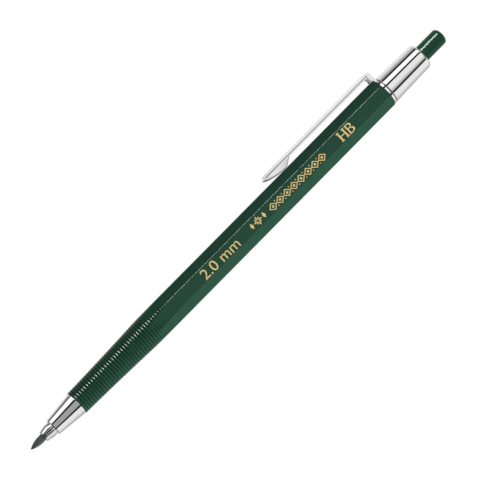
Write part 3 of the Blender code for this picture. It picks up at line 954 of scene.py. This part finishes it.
    def border(self) -> bpy.types.Object:
        """A chain of open lozenges with a solid one inside each and dots between them.

        Returns:
            The border as one piece.
        """
        middle = self.base_line + self.border_height / 2
        pitch = (self.border_span[1] - self.border_span[0]) / self.links
        centres = [self.border_span[0] + (number + 0.5) * pitch for number in range(self.links)]
        bm = bmesh.new()
        for x in centres:
            made = self.lozenge(bm, (x, middle), (pitch * 0.52, self.border_height / 2))
            face = made[0].link_faces[0]
            bmesh.ops.inset_region(bm, faces=[face], thickness=self.stroke, use_even_offset=True,
                                   use_boundary=True)
            bmesh.ops.delete(bm, geom=[face], context="FACES_ONLY")
        for x in centres:
            self.lozenge(bm, (x, middle), (pitch * 0.17, self.border_height * 0.17))
        for first, second in zip(centres, centres[1:]):
            for side in (-1, 1):
                spot = ((first + second) / 2, middle + side * self.border_height * 0.36)
                self.lozenge(bm, spot, (self.dot, self.dot))
        return self.stamped(bm, "gold_border")

    def flower(self) -> bpy.types.Object:
        """A flower of lozenge petals between two small lozenges.

        Returns:
            The flower as one piece.
        """
        bm = bmesh.new()
        for number in range(self.petals):
            length = self.petal_lengths[number % 2]
            made = self.lozenge(bm, (length * 0.6, 0.0), (length * 0.42, self.petal_half_width))
            turn = Matrix.Rotation(2 * math.pi * number / self.petals, 3, "Z")
            bmesh.ops.rotate(bm, verts=made, cent=(0, 0, 0), matrix=turn)
        for side in (-1, 1):
            self.lozenge(bm, (side * self.bud_place, 0.0), self.bud)
        middle = (sum(self.flower_span) / 2, self.base_line + self.letter_height / 2)
        bmesh.ops.translate(bm, verts=bm.verts, vec=(*middle, 0.0))
        return self.stamped(bm, "gold_flower")

    def dress(self, palette: Palette) -> None:
        """Build the marks and put them on the barrel."""
        pieces = [
            self.lettering("gold_size_mark", "2.0 mm", self.size_span),
            self.flower(),
            self.border(),
            self.grade(),
        ]
        for piece in pieces:
            dress(piece, palette.foil, Body.HOUSING.value, None)


# ---- Front end -----------------------------------------------------------------------
@dataclass
class NoseCone:
    """Chromed cone with a rolled lip, a taper mouth and a threaded socket."""

    steps: int = 128
    front_radius: float = 2.43 * MM
    rear_radius: float = 3.29 * MM
    lip: float = 0.2 * MM
    rear_break: float = 0.1 * MM
    mouth: float = 1.97 * MM
    mouth_start: float = 0.05 * MM
    support: float = 0.04 * MM
    throat_drop: float = 0.28 * MM
    throat_length: float = 2.0 * MM
    cavity: float = 2.15 * MM
    cavity_length: float = 2.0 * MM
    socket: float = 2.45 * MM

    def cone(self, first: float, last: float) -> list[Point2]:
        """Points that keep the cone's face straight.

        Args:
            first: The front station.
            last: The rear station.

        Returns:
            The two points on the cone's face.
        """
        low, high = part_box("nose_cone")
        slope = (self.rear_radius - self.front_radius) / (high.x - self.rear_break - low.x - self.lip)
        start = low.x + self.lip
        return [(x, self.front_radius + slope * (x - start)) for x in (first, last)]

    def build(self) -> bpy.types.Object:
        """Make the cone."""
        low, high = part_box("nose_cone")
        front, rear = low.x, high.x
        throat = front + self.throat_length
        socket_front = throat + self.cavity_length
        outline = [
            (throat, self.mouth - self.throat_drop),
            (front + self.mouth_start, self.mouth),
            *arc((front + self.lip / 2, self.mouth + self.lip / 2),
                 (self.lip / 2, self.lip / 2), 225, 180, 3),
            *arc((front + self.lip, self.front_radius - self.lip), (self.lip, self.lip), 180, 95, 7),
            *self.cone(front + self.lip + self.support, rear - self.rear_break - self.support),
            *arc((rear - self.rear_break, self.rear_radius - self.rear_break),
                 (self.rear_break, self.rear_break), 95, 0, 4),
            (rear, self.socket),
            (socket_front, self.socket),
            (socket_front, self.cavity),
            (throat + self.throat_drop, self.cavity),
        ]
        return make_piece(turned(outline, self.steps), "nose_shell")

    def dress(self, palette: Palette) -> None:
        """Build the cone and put it in the frame."""
        dress(self.build(), palette.chrome, Body.HOUSING.value, Slot.CHROME, "nose_cone")


@dataclass
class Clutch:
    """Three sprung jaws with a conical tip, a head and a thin shank."""

    count: int = 3
    bore: float = 1.04 * MM
    tip: float = 1.5 * MM
    head: float = 1.92 * MM
    relief: float = 1.14 * MM
    shank: float = 1.42 * MM
    slot: float = 0.3 * MM
    cone_length: float = 2.0 * MM
    grip_length: float = 5.0 * MM
    head_length: float = 3.4 * MM
    seat_length: float = 2.0 * MM
    seat_drop: float = 0.28 * MM
    break_width: float = 0.04 * MM
    corner_angle: float = math.radians(40)
    steps: int = 18

    def __post_init__(self) -> None:
        """Take the height of the axis from the frame."""
        self.height = axis_height()

    def outline(self, front: float, root: float) -> list[Point2]:
        """Closed section of a jaw as stations and radii.

        Args:
            front: The station of the jaws' tips.
            root: The station of their roots.

        Returns:
            The outline's points.
        """
        seat = front + self.head_length
        back = seat + self.seat_length
        return [
            (front, self.bore),
            (front, self.tip),
            (front + self.cone_length, self.head),
            (seat, self.head),
            (back, self.head - self.seat_drop),
            (back + self.seat_drop, self.shank),
            (root, self.shank),
            (root, self.relief),
            (front + self.grip_length, self.relief),
            (front + self.grip_length, self.bore),
        ]

    def jaw(self, number: int) -> bpy.types.Object:
        """Make one jaw.

        Args:
            number: 1 to 3.

        Returns:
            The jaw.
        """
        low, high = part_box(f"collet_jaw_{number}")
        share = 2 * math.pi / self.count
        width = share - self.slot / self.head
        start = share * (number - 0.5) - width / 2
        spoke = Vector((0.0, math.sin(start), math.cos(start)))
        bm = bmesh.new()
        points = [bm.verts.new(Vector((x, 0.0, self.height)) + spoke * radius)
                  for x, radius in self.outline(low.x, high.x)]
        edges = [bm.edges.new(pair) for pair in zip(points, points[1:] + points[:1])]
        bmesh.ops.spin(bm, geom=points + edges, cent=(0, 0, self.height), axis=(-1, 0, 0), angle=width,
                       steps=self.steps, use_duplicate=False)
        rim = [edge for edge in bm.edges if edge.is_boundary]
        bmesh.ops.holes_fill(bm, edges=rim, sides=0)
        bmesh.ops.recalc_face_normals(bm, faces=bm.faces)
        corners = [edge for edge in bm.edges if edge.calc_face_angle(0.0) > self.corner_angle]
        bmesh.ops.bevel(bm, geom=corners, offset=self.break_width, offset_type="OFFSET", segments=2,
                        profile=0.5, affect="EDGES", clamp_overlap=True, material=-1)
        return make_piece(bm, f"clutch_jaw_{number}")

    def dress(self, palette: Palette) -> None:
        """Build the jaws and put each on its own body."""
        for number in range(1, self.count + 1):
            piece = dress(self.jaw(number), palette.clutch, f"jaw_{number}", Slot.CLUTCH_METAL,
                          f"collet_jaw_{number}")
            shade_faces(piece, palette.recess, self.is_wall)

    def is_wall(self, face: bpy.types.MeshPolygon) -> bool:
        """Whether a face lies in the slot between two jaws.

        Args:
            face: A face of a jaw.

        Returns:
            True when it looks neither along the axis nor away from it.
        """
        spoke = Vector((0.0, face.center.y, face.center.z - self.height)).normalized()
        return abs(face.normal.x) < 0.3 and abs(face.normal.dot(spoke)) < 0.5


@dataclass
class Lead:
    """Graphite lead, sharpened to an ogive point."""

    radius: float = 1.0 * MM
    point_length: float = 3.5 * MM
    blunt: float = 0.06
    ogive: float = 0.8
    steps: int = 64
    point_steps: int = 16

    def build(self) -> bpy.types.Object:
        """Make the lead."""
        low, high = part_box("lead")
        point = []
        for i in range(self.point_steps + 1):
            t = i / self.point_steps
            share = self.blunt + (1 - self.blunt) * math.sin(math.pi / 2 * t) ** self.ogive
            point.append((low.x + self.point_length * t, self.radius * share))
        outline = [(low.x, 0.0), *point, (low.x + 2 * self.point_length, self.radius),
                   (high.x, self.radius), (high.x, 0.0)]
        return make_piece(turned(outline, self.steps), "lead_core")

    def dress(self, palette: Palette) -> None:
        """Build the lead and put it in the frame."""
        dress(self.build(), palette.graphite, Body.LEAD.value, Slot.GRAPHITE, "lead")


# ---- Clip ----------------------------------------------------------------------------
@dataclass
class Clip:
    """Pressed clip: a ring round the axis, a riser, a channel-section arm and a hollow foot."""

    sheet: float = 0.42 * MM
    bend_radius: float = 1.0 * MM
    shoulder: float = 0.75 * MM
    wall: float = 1.35 * MM
    riser_depth: float = 1.55 * MM
    tip_radius: float = 0.9 * MM
    sheet_break: float = 0.06 * MM
    rim: float = 0.2 * MM
    ring_bore: float = 2.65 * MM
    neck_depth: float = 0.6 * MM
    neck_root: float = 0.9 * MM
    neck_rise: float = 0.2 * MM
    inner_round: float = 0.4 * MM
    wall_clear: float = 0.1 * MM
    heel: float = 9.0 * MM
    ring_break: float = 0.08 * MM
    sole: tuple[Point2, ...] = ((0.2, 1.44), (0.7, 1.12), (1.5, 0.80), (2.6, 0.50), (3.9, 0.24), (5.0, 0.08),
                                (5.7, 0.01), (6.3, 0.0), (6.8, 0.06), (7.2, 0.20), (7.6, 0.42), (8.1, 0.78),
                                (8.5, 1.07), (8.85, 1.28), (9.3, 1.40))

    def __post_init__(self) -> None:
        """Take the clip's size from the frame."""
        low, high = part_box("clip_arm")
        ring_low, ring_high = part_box("clip_ring")
        self.tip, self.rear = low.x, high.x
        self.base, self.top = low.y, high.y
        self.width = high.z - low.z
        self.edge = self.top - self.wall
        self.ring_front, self.ring_rear = ring_low.x, ring_high.x
        self.ring_radius = ring_high.y

    def side(self) -> list[Point2]:
        """Side view of the arm.

        Returns:
            The outline from the riser over the top to the foot and back.
        """
        inner = self.rear - self.riser_depth - self.inner_round
        bend = arc((self.rear - self.bend_radius, self.top - self.bend_radius),
                   (self.bend_radius, self.bend_radius), 0, 90, 12)
        nose = arc((self.tip + self.tip_radius, self.top - self.tip_radius),
                   (self.tip_radius, self.tip_radius), 90, 205, 12)
        sole = [(self.tip + x * MM, self.base + y * MM) for x, y in self.sole]
        return [
            (self.rear, self.base),
            *bend,
            *nose,
            *sole,
            (inner, self.edge),
            *arc((inner, self.edge - self.inner_round), (self.inner_round, self.inner_round), 70, 0, 4),
            (self.rear - self.riser_depth, self.base),
        ]

    def skin(self) -> bpy.types.Object:
        """Outer skin of the arm and foot.

        Returns:
            The skin, open below the arm and behind the heel.
        """
        bm = slab(self.side(), self.width)
        middle = axis_height()
        open_faces = [
            face for face in bm.faces
            if face.calc_center_median().x > self.tip + self.heel and abs(face.normal.z) < 0.5
            and face.calc_center_median().y < self.edge + NEAR and face.normal.x < 0.9
        ]
        bmesh.ops.delete(bm, geom=open_faces, context="FACES_ONLY")
        half = self.width / 2 - NEAR
        shoulders = [
            edge for edge in bm.edges
            if all(abs(vert.co.z - middle) > half and vert.co.y > self.edge + self.wall_clear
                   for vert in edge.verts)
            and (edge.verts[0].co.z - middle) * (edge.verts[1].co.z - middle) > 0 and not edge.is_boundary
        ]
        bmesh.ops.bevel(bm, geom=shoulders, offset=self.shoulder, offset_type="OFFSET", segments=6,
                        profile=0.5, affect="EDGES", clamp_overlap=True, material=-1)
        mesh = bpy.data.meshes.new("clip_channel")
        bm.to_mesh(mesh)
        bm.free()
        piece = bpy.data.objects.new("clip_channel", mesh)
        bpy.context.scene.collection.objects.link(piece)
        return piece

    def build(self) -> bpy.types.Object:
        """Make the clip in one piece."""
        arm = self.skin()
        wall = arm.modifiers.new("sheet", "SOLIDIFY")
        wall.thickness = self.sheet
        wall.offset = -1.0
        wall.use_even_offset = True
        applied(arm)
        rounding = arm.modifiers.new("edges", "BEVEL")
        rounding.width = self.sheet_break
        rounding.segments = 2
        rounding.limit_method = "ANGLE"
        rounding.angle_limit = math.radians(50)
        applied(arm)
        ends = (self.ring_front, self.ring_rear)
        edge = self.ring_break
        outline = [
            (ends[0], self.ring_bore),
            (ends[0], self.ring_radius - edge),
            (ends[0] + edge, self.ring_radius),
            (ends[1] - edge, self.ring_radius),
            (ends[1], self.ring_radius - edge),
            (ends[1], self.ring_bore),
        ]
        combined(arm, "UNION", make_piece(turned(outline, 128), "clip_plate"))
        neck_front = ends[1] - self.neck_depth
        root, rise = self.ring_radius - self.neck_root, self.base + self.neck_rise
        neck = [(neck_front, root), (ends[1], root), (ends[1], rise), (neck_front, rise)]
        combined(arm, "UNION", make_piece(slab(neck, self.width - self.neck_rise), "clip_neck"))
        arm.data.shade_smooth()
        arm.data.set_sharp_from_angle(angle=SHARP_ANGLE)
        layer = arm.data.uv_layers.new(name="side_view")
        for loop in arm.data.loops:
            spot = arm.data.vertices[loop.vertex_index].co
            layer.data[loop.index].uv = (spot.x / MM, spot.y / MM)
        return arm

    def finish(self, palette: Palette) -> bpy.types.Material:
        """Make its plating, with painted shade in the folds and along the sole.

        Args:
            palette: The finishes, for the tones of the plating.

        Returns:
            The material.
        """
        under = (self.top - self.shoulder) / MM
        sole = tuple((self.tip / MM + x, self.base / MM + y) for x, y in self.sole)
        ends = ((self.tip + self.tip_radius) / MM, (self.rear - self.bend_radius) / MM)
        return PressedMetal("clip_plating", **palette.plating, fold=(under - self.rim / MM, under + 0.02),
                            sole=sole, width=self.rim / MM, ends=ends).build()

    def dress(self, palette: Palette) -> None:
        """Build the clip, give it its plating and put it in place of the CAD ring and arm."""
        piece = self.build()
        piece.data.materials.clear()
        piece.data.materials.append(self.finish(palette))
        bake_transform(piece)
        note(piece, Slot.CHROME, "clip_ring", "clip_arm")


# ---- Rear end ------------------------------------------------------------------------
@dataclass
class Sleeve:
    """Chromed sleeve with a rounded rear edge, which guides the button."""

    steps: int = 128
    front_radius: float = 4.04 * MM
    rear_radius: float = 3.73 * MM
    edge: float = 0.7 * MM
    front_break: float = 0.12 * MM
    groove: Point2 = (0.18 * MM, 0.22 * MM)
    support: float = 0.04 * MM
    guide_round: float = 0.1 * MM
    thread: float = 2.6 * MM
    guide: float = 2.45 * MM
    thread_length: float = 5.3 * MM

    def taper(self, first: float, last: float) -> list[Point2]:
        """Points that keep the sleeve's face straight.

        Args:
            first: The station where the face starts.
            last: The station where it ends.

        Returns:
            Two points on the face, just inside its ends.
        """
        slope = (self.rear_radius - self.front_radius) / (last - first)
        stations = (first + self.support, last - self.support)
        return [(x, self.front_radius + slope * (x - first)) for x in stations]

    def build(self) -> bpy.types.Object:
        """Make the sleeve."""
        low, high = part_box("rear_sleeve")
        front, rear = low.x, high.x
        land = front + self.groove[0]
        outline = [
            (front, self.thread),
            (front, self.front_radius - self.groove[1]),
            (land, self.front_radius - self.groove[1]),
            *arc((land + self.front_break, self.front_radius - self.front_break),
                 (self.front_break, self.front_break), 180, 92, 4),
            *self.taper(land + self.front_break, rear - self.edge),
            *arc((rear - self.edge, self.rear_radius - self.edge), (self.edge, self.edge), 88, 0, 12),
            *arc((rear - self.guide_round, self.guide + self.guide_round),
                 (self.guide_round, self.guide_round), 0, -90, 3),
            (front + self.thread_length, self.guide),
            (front + self.thread_length, self.thread),
        ]
        return make_piece(turned(outline, self.steps), "sleeve_shell")

    def dress(self, palette: Palette) -> None:
        """Build the sleeve and put it in the frame."""
        piece = dress(self.build(), palette.chrome, Body.HOUSING.value, Slot.CHROME, "rear_sleeve")
        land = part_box("rear_sleeve")[0].x + self.groove[0]
        shade_faces(piece, palette.recess, lambda face: face.center.x < land + MERGE_DISTANCE)


@dataclass
class Button:
    """Green push button with a rounded edge and a slightly domed end."""

    steps: int = 96
    radius: float = 2.3 * MM
    bore: float = 2.02 * MM
    bore_length: float = 5.25 * MM
    edge: float = 1.1 * MM
    front_break: float = 0.06 * MM
    support: float = 0.04 * MM
    dome: float = 0.25 * MM
    dome_steps: int = 8

    def build(self) -> bpy.types.Object:
        """Make the button."""
        low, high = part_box("push_button")
        front, rear = low.x, high.x
        centre = (rear - self.dome - self.edge, self.radius - self.edge)
        edge = arc(centre, (self.edge, self.edge), 90, 14, 12)
        last = edge[-1]
        dome = [(rear - (rear - last[0]) * (r / self.dome_steps) ** 2, last[1] * r / self.dome_steps)
                for r in range(self.dome_steps - 1, 0, -1)]
        outline = [
            (front + self.bore_length, 0.0),
            (front + self.bore_length, self.bore),
            (front, self.bore),
            (front, self.radius - self.front_break),
            (front + self.front_break, self.radius),
            (front + self.front_break + self.support, self.radius),
            (centre[0] - self.support, self.radius),
            *edge,
            *dome,
            (rear, 0.0),
        ]
        return make_piece(turned(outline, self.steps), "button_cap")

    def dress(self, palette: Palette) -> None:
        """Build the button and put it in the frame."""
        dress(self.build(), palette.button, Body.CAP.value, Slot.BUTTON_GREEN, "push_button")


# ---- Inside --------------------------------------------------------------------------
@dataclass
class ReturnSpring:
    """Helical compression spring with a close turn at each end."""

    coil_radius: float = 2.17 * MM
    wire_radius: float = 0.17 * MM
    turns: int = 9
    steps_per_turn: int = 36
    sides: int = 12
    close_pitch: float = 2.4
    travel: float = 4.0 * MM

    def build(self) -> bpy.types.Object:
        """Make the spring by spinning a round wire along the axis."""
        low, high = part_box("return_spring")
        height = axis_height()
        close = self.close_pitch * self.wire_radius
        length = high.x - low.x - 2 * self.wire_radius
        open_pitch = (length - 2 * close) / (self.turns - 2)
        bm = bmesh.new()
        ring = bmesh.ops.create_circle(bm, cap_ends=True, segments=self.sides,
                                       radius=self.wire_radius)["verts"]
        bmesh.ops.rotate(bm, verts=ring, cent=(0, 0, 0), matrix=Matrix.Rotation(math.pi / 2, 3, "X"))
        bmesh.ops.translate(bm, verts=ring, vec=(low.x + self.wire_radius, 0.0, height + self.coil_radius))
        geometry: list = list({e for v in ring for e in v.link_edges}) + ring + bm.faces[:]
        for turns, pitch in ((1, close), (self.turns - 2, open_pitch), (1, close)):
            steps = turns * self.steps_per_turn
            made = bmesh.ops.spin(bm, geom=geometry, cent=(0, 0, height), axis=(-1, 0, 0),
                                  dvec=(pitch / self.steps_per_turn, 0, 0), angle=2 * math.pi * turns,
                                  steps=steps, use_duplicate=False)
            geometry = made["geom_last"]
        inside = [face for face in bm.faces if all(len(edge.link_faces) > 2 for edge in face.edges)]
        bmesh.ops.delete(bm, geom=inside, context="FACES_ONLY")
        return make_piece(bm, "coil_spring")

    def dress(self, palette: Palette) -> None:
        """Build the spring, put it on the housing and give it a mesh of its own."""
        piece = dress(self.build(), palette.steel, Body.HOUSING.value, Slot.SPRING_STEEL, "return_spring")
        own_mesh(piece)


@dataclass
class InnerWorks:
    """Turned parts inside the holder, which keep their CAD shape."""

    brass: tuple[str, ...] = ("front_bush", "rear_bush", "lead_tube", "tube_collar", "button_socket")
    steel: tuple[str, ...] = ("front_washer", "snap_ring")
    clutch: tuple[str, ...] = ("collet_body",)

    def dress(self, nodes: dict[str, bpy.types.Object], palette: Palette) -> None:
        """Give every inner part its finish.

        Args:
            nodes: The CAD nodes by name.
            palette: The finishes.
        """
        finishes = ((self.brass, palette.brass), (self.steel, palette.steel), (self.clutch, palette.clutch))
        for names, material in finishes:
            for name in names:
                for place in nodes[name].material_slots:
                    place.material = material
                LOG.info("%s keeps its CAD shape, in %s", name, material.name)


# ---- Studio --------------------------------------------------------------------------
@dataclass
class Studio:
    """Pale floor, a soft box sky, two soft lamps and a long-lens camera."""

    floor_size: float = 6.0
    camera_place: tuple[float, float, float] = (-0.2178, 0.0002, 1.194)
    camera_target: tuple[float, float, float] = (0.000126, -0.00035, 0.0042)
    camera_roll: float = math.radians(45.336)
    lens: float = 355.0
    backdrop: Colour = (0.985, 0.985, 0.985)
    sky_peak: float = 4.0
    dim_front: float = 0.1
    dim_rear: float = 0.4
    lean: float = 12.0
    widen: float = 0.33
    pivot: float = 34.0
    nose_sky: Point2 = (-0.04, 0.27)
    sky_blend: Point2 = (-0.05, 0.18)
    front_fade: Point2 = (-0.62, -0.36)
    rear_fade: Point2 = (0.7, 0.95)
    floor_gap: float = 0.02 * MM
    strip_colour: Colour = (0.86, 1.0, 0.98)
    glossy_names: tuple[str, ...] = ("barrel_shell", "button_cap")
    filled_names: tuple[str, ...] = ("barrel_shell", "lead_core", "gold_size_mark", "gold_flower",
                                     "gold_border", "gold_grade_mark")
    rear_bands: tuple[Point2, ...] = (
        (-180, 0.5), (-146, 0.42), (-126, 0.65), (-112, 0.65), (-100, 0.86), (-61, 0.86), (-57, 0.3),
        (-55, 0.02), (-49, 0.01), (-43, 0.02), (-41, 0.3), (-37, 0.45), (-29, 0.62), (-15, 0.85),
        (14, 0.85), (16, 0.4), (18, 0.02), (23, 0.01), (28, 0.02), (31, 0.7), (34, 1.3), (56, 1.3),
        (61, 0.5), (64, 0.02), (70, 0.01), (76, 0.02), (79, 0.2), (84, 0.33), (92, 0.45), (104, 0.6),
        (116, 0.82), (180, 0.85))
    nose_bands: tuple[Point2, ...] = (
        (-180, 0.5), (-146, 0.42), (-120, 0.65), (-100, 0.85), (-64, 0.85), (-60, 0.45), (-57, 0.02),
        (-50, 0.01), (-43, 0.02), (-40, 0.3), (-38, 0.37), (0, 0.37), (8, 0.36), (11, 0.3), (13, 0.03),
        (21, 0.01), (29, 0.03), (32, 0.7), (36, 1.2), (59, 1.2), (64, 0.8), (69, 0.3), (74, 0.06),
        (80, 0.04), (85, 0.25), (92, 0.5), (105, 0.75), (115, 0.95), (180, 0.95))

    def camera(self) -> None:
        """Place the camera."""
        data = bpy.data.cameras.new("camera")
        data.lens = self.lens
        data.sensor_width = 36.0
        data.clip_start = 0.01
        data.clip_end = 50.0
        camera = bpy.data.objects.new("camera", data)
        bpy.context.scene.collection.objects.link(camera)
        place, target = Vector(self.camera_place), Vector(self.camera_target)
        back = (place - target).normalized()
        along = Vector((1.0, 0.0, 0.0))
        along = (along - back * along.dot(back)).normalized()
        across = back.cross(along)
        cos, sin = math.cos(self.camera_roll), math.sin(self.camera_roll)
        right, up = along * cos - across * sin, along * sin + across * cos
        camera.matrix_world = Matrix((right, up, back)).transposed().to_4x4()
        camera.location = place
        bpy.context.scene.camera = camera

    def floor(self, palette: Palette) -> None:
        """Lay the floor under the holder."""
        bm = bmesh.new()
        bmesh.ops.create_grid(bm, x_segments=8, y_segments=8, size=self.floor_size / 2)
        bmesh.ops.translate(bm, verts=bm.verts, vec=(0.0, 0.0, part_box("barrel")[0].z - self.floor_gap))
        floor = make_piece(bm, "floor")
        floor.data.materials.append(palette.floor)
        floor.visible_glossy = False

    def lamp(self, name: str, angle: float, distance: float, size: Point2, radiance: float,
             slide: float = 0.0) -> bpy.types.Object:
        """Add a soft rectangular lamp aimed at the holder.

        Args:
            name: The lamp's name.
            angle: Its direction about the holder's axis, from +Z towards +Y, in degrees.
            distance: Its distance from the axis in metres.
            size: Its length along the holder and its width in metres.
            radiance: Its brightness.
            slide: How far it is moved along the holder.

        Returns:
            The lamp's object.
        """
        data = bpy.data.lights.new(name, "AREA")
        data.shape = "RECTANGLE"
        data.size, data.size_y = size
        data.energy = math.pi * size[0] * size[1] * radiance
        lamp = bpy.data.objects.new(name, data)
        bpy.context.scene.collection.objects.link(lamp)
        turn = math.radians(angle)
        back = Vector((0.0, math.sin(turn), math.cos(turn)))
        along = Vector((1.0, 0.0, 0.0))
        lamp.matrix_world = Matrix((along, back.cross(along), back)).transposed().to_4x4()
        lamp.location = back * distance + Vector((slide, 0.0, 0.0))
        lamp.visible_camera = False
        return lamp

    def lights(self) -> None:
        """Add the two lamps: one only for gloss, one only for body colour."""
        strip = self.lamp("strip_lamp", angle=46.0, distance=2.0, size=(0.9, 0.8), radiance=54.0, slide=0.34)
        strip.data.color = self.strip_colour
        strip.visible_diffuse = False
        fill = self.lamp("side_lamp", angle=-58.0, distance=1.6, size=(1.6, 1.0), radiance=4.2)
        fill.visible_glossy = False
        for lamp, names in ((strip, self.glossy_names), (fill, self.filled_names)):
            lit = bpy.data.collections.new(f"{lamp.name}_pieces")
            lamp.light_linking.receiver_collection = lit
            for name in names:
                lit.objects.link(bpy.data.objects[name])

    def sky(self) -> None:
        """Paint the sky: bright and dark bands about the holder's axis, as soft boxes would."""
        world = bpy.data.worlds.new("soft_sky")
        bpy.context.scene.world = world
        world.use_nodes = True
        sheet = NodeSheet(world.node_tree)
        background = world.node_tree.nodes["Background"]
        direction = sheet.add("SeparateXYZ", {0: sheet.add("TexCoord").outputs["Generated"]})
        along = direction.outputs["X"]
        angle = sheet.math("MULTIPLY", sheet.math("ARCTAN2", direction.outputs["Y"], direction.outputs["Z"]),
                           180 / math.pi)
        front = sheet.spread(along, (self.nose_sky[0], 1.0), (self.nose_sky[1], 0.0))
        leant = sheet.math("SUBTRACT", angle, sheet.math("MULTIPLY", front, self.lean))
        share = sheet.math("MULTIPLY", front, self.widen)
        wide = sheet.math("DIVIDE", sheet.math("MULTIPLY_ADD", share, self.pivot, leant),
                          sheet.math("ADD", share, 1.0))
        turn = sheet.math("MULTIPLY_ADD", sheet.math("MINIMUM", leant, wide), 1 / 360, 0.5)
        blend = sheet.spread(along, (self.sky_blend[0], 0.0), (self.sky_blend[1], 1.0), smooth=True)
        bands = sheet.mix(blend, sheet.ramp(turn, self.stops(self.nose_bands)),
                          sheet.ramp(turn, self.stops(self.rear_bands)))
        level = sheet.math(
            "MULTIPLY",
            sheet.spread(along, (self.front_fade[0], self.sky_peak * self.dim_front),
                         (self.front_fade[1], self.sky_peak)),
            sheet.spread(along, (self.rear_fade[0], 1.0), (self.rear_fade[1], self.dim_rear), smooth=True))
        bright = sheet.add("VectorMath", {0: bands, "Scale": level}, operation="SCALE").outputs[0]
        seen = sheet.add("LightPath").outputs["Is Camera Ray"]
        shown = sheet.mix(seen, bright, self.backdrop)
        sheet.tree.links.new(shown, background.inputs["Color"])

    def stops(self, bands: Sequence[Point2]) -> list[Point2]:
        """Bands of the sky as stops of a ramp.

        Args:
            bands: Angles in degrees and the brightness at each.

        Returns:
            Shares of the turn and levels below the sky's peak.
        """
        return [(angle / 360 + 0.5, value / self.sky_peak) for angle, value in bands]

    def build(self, palette: Palette) -> None:
        """Set up the whole studio, once the pieces are there."""
        bpy.context.scene.view_settings.view_transform = "Standard"
        self.camera()
        self.floor(palette)
        self.lights()
        self.sky()


def corners(box: tuple[Vector, Vector]) -> list[list[float]]:
    """A box's two corners as plain lists.

    Args:
        box: The low and the high corner.

    Returns:
        The corners, rounded to a tenth of a micrometre.
    """
    return [[round(part, 7) for part in corner] for corner in box]


def main() -> None:
    """Build every piece of the holder and its studio."""
    logging.basicConfig(level=logging.INFO, format="%(name)s: %(message)s")
    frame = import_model()
    palette = Palette()
    for part in (Barrel(), GoldPrint(), NoseCone(), Clutch(), Lead(), Clip(), Sleeve(), Button(),
                 ReturnSpring()):
        part.dress(palette)
    InnerWorks().dress(frame["nodes"], palette)
    Studio().build(palette)


if __name__ == "__main__":
    main()
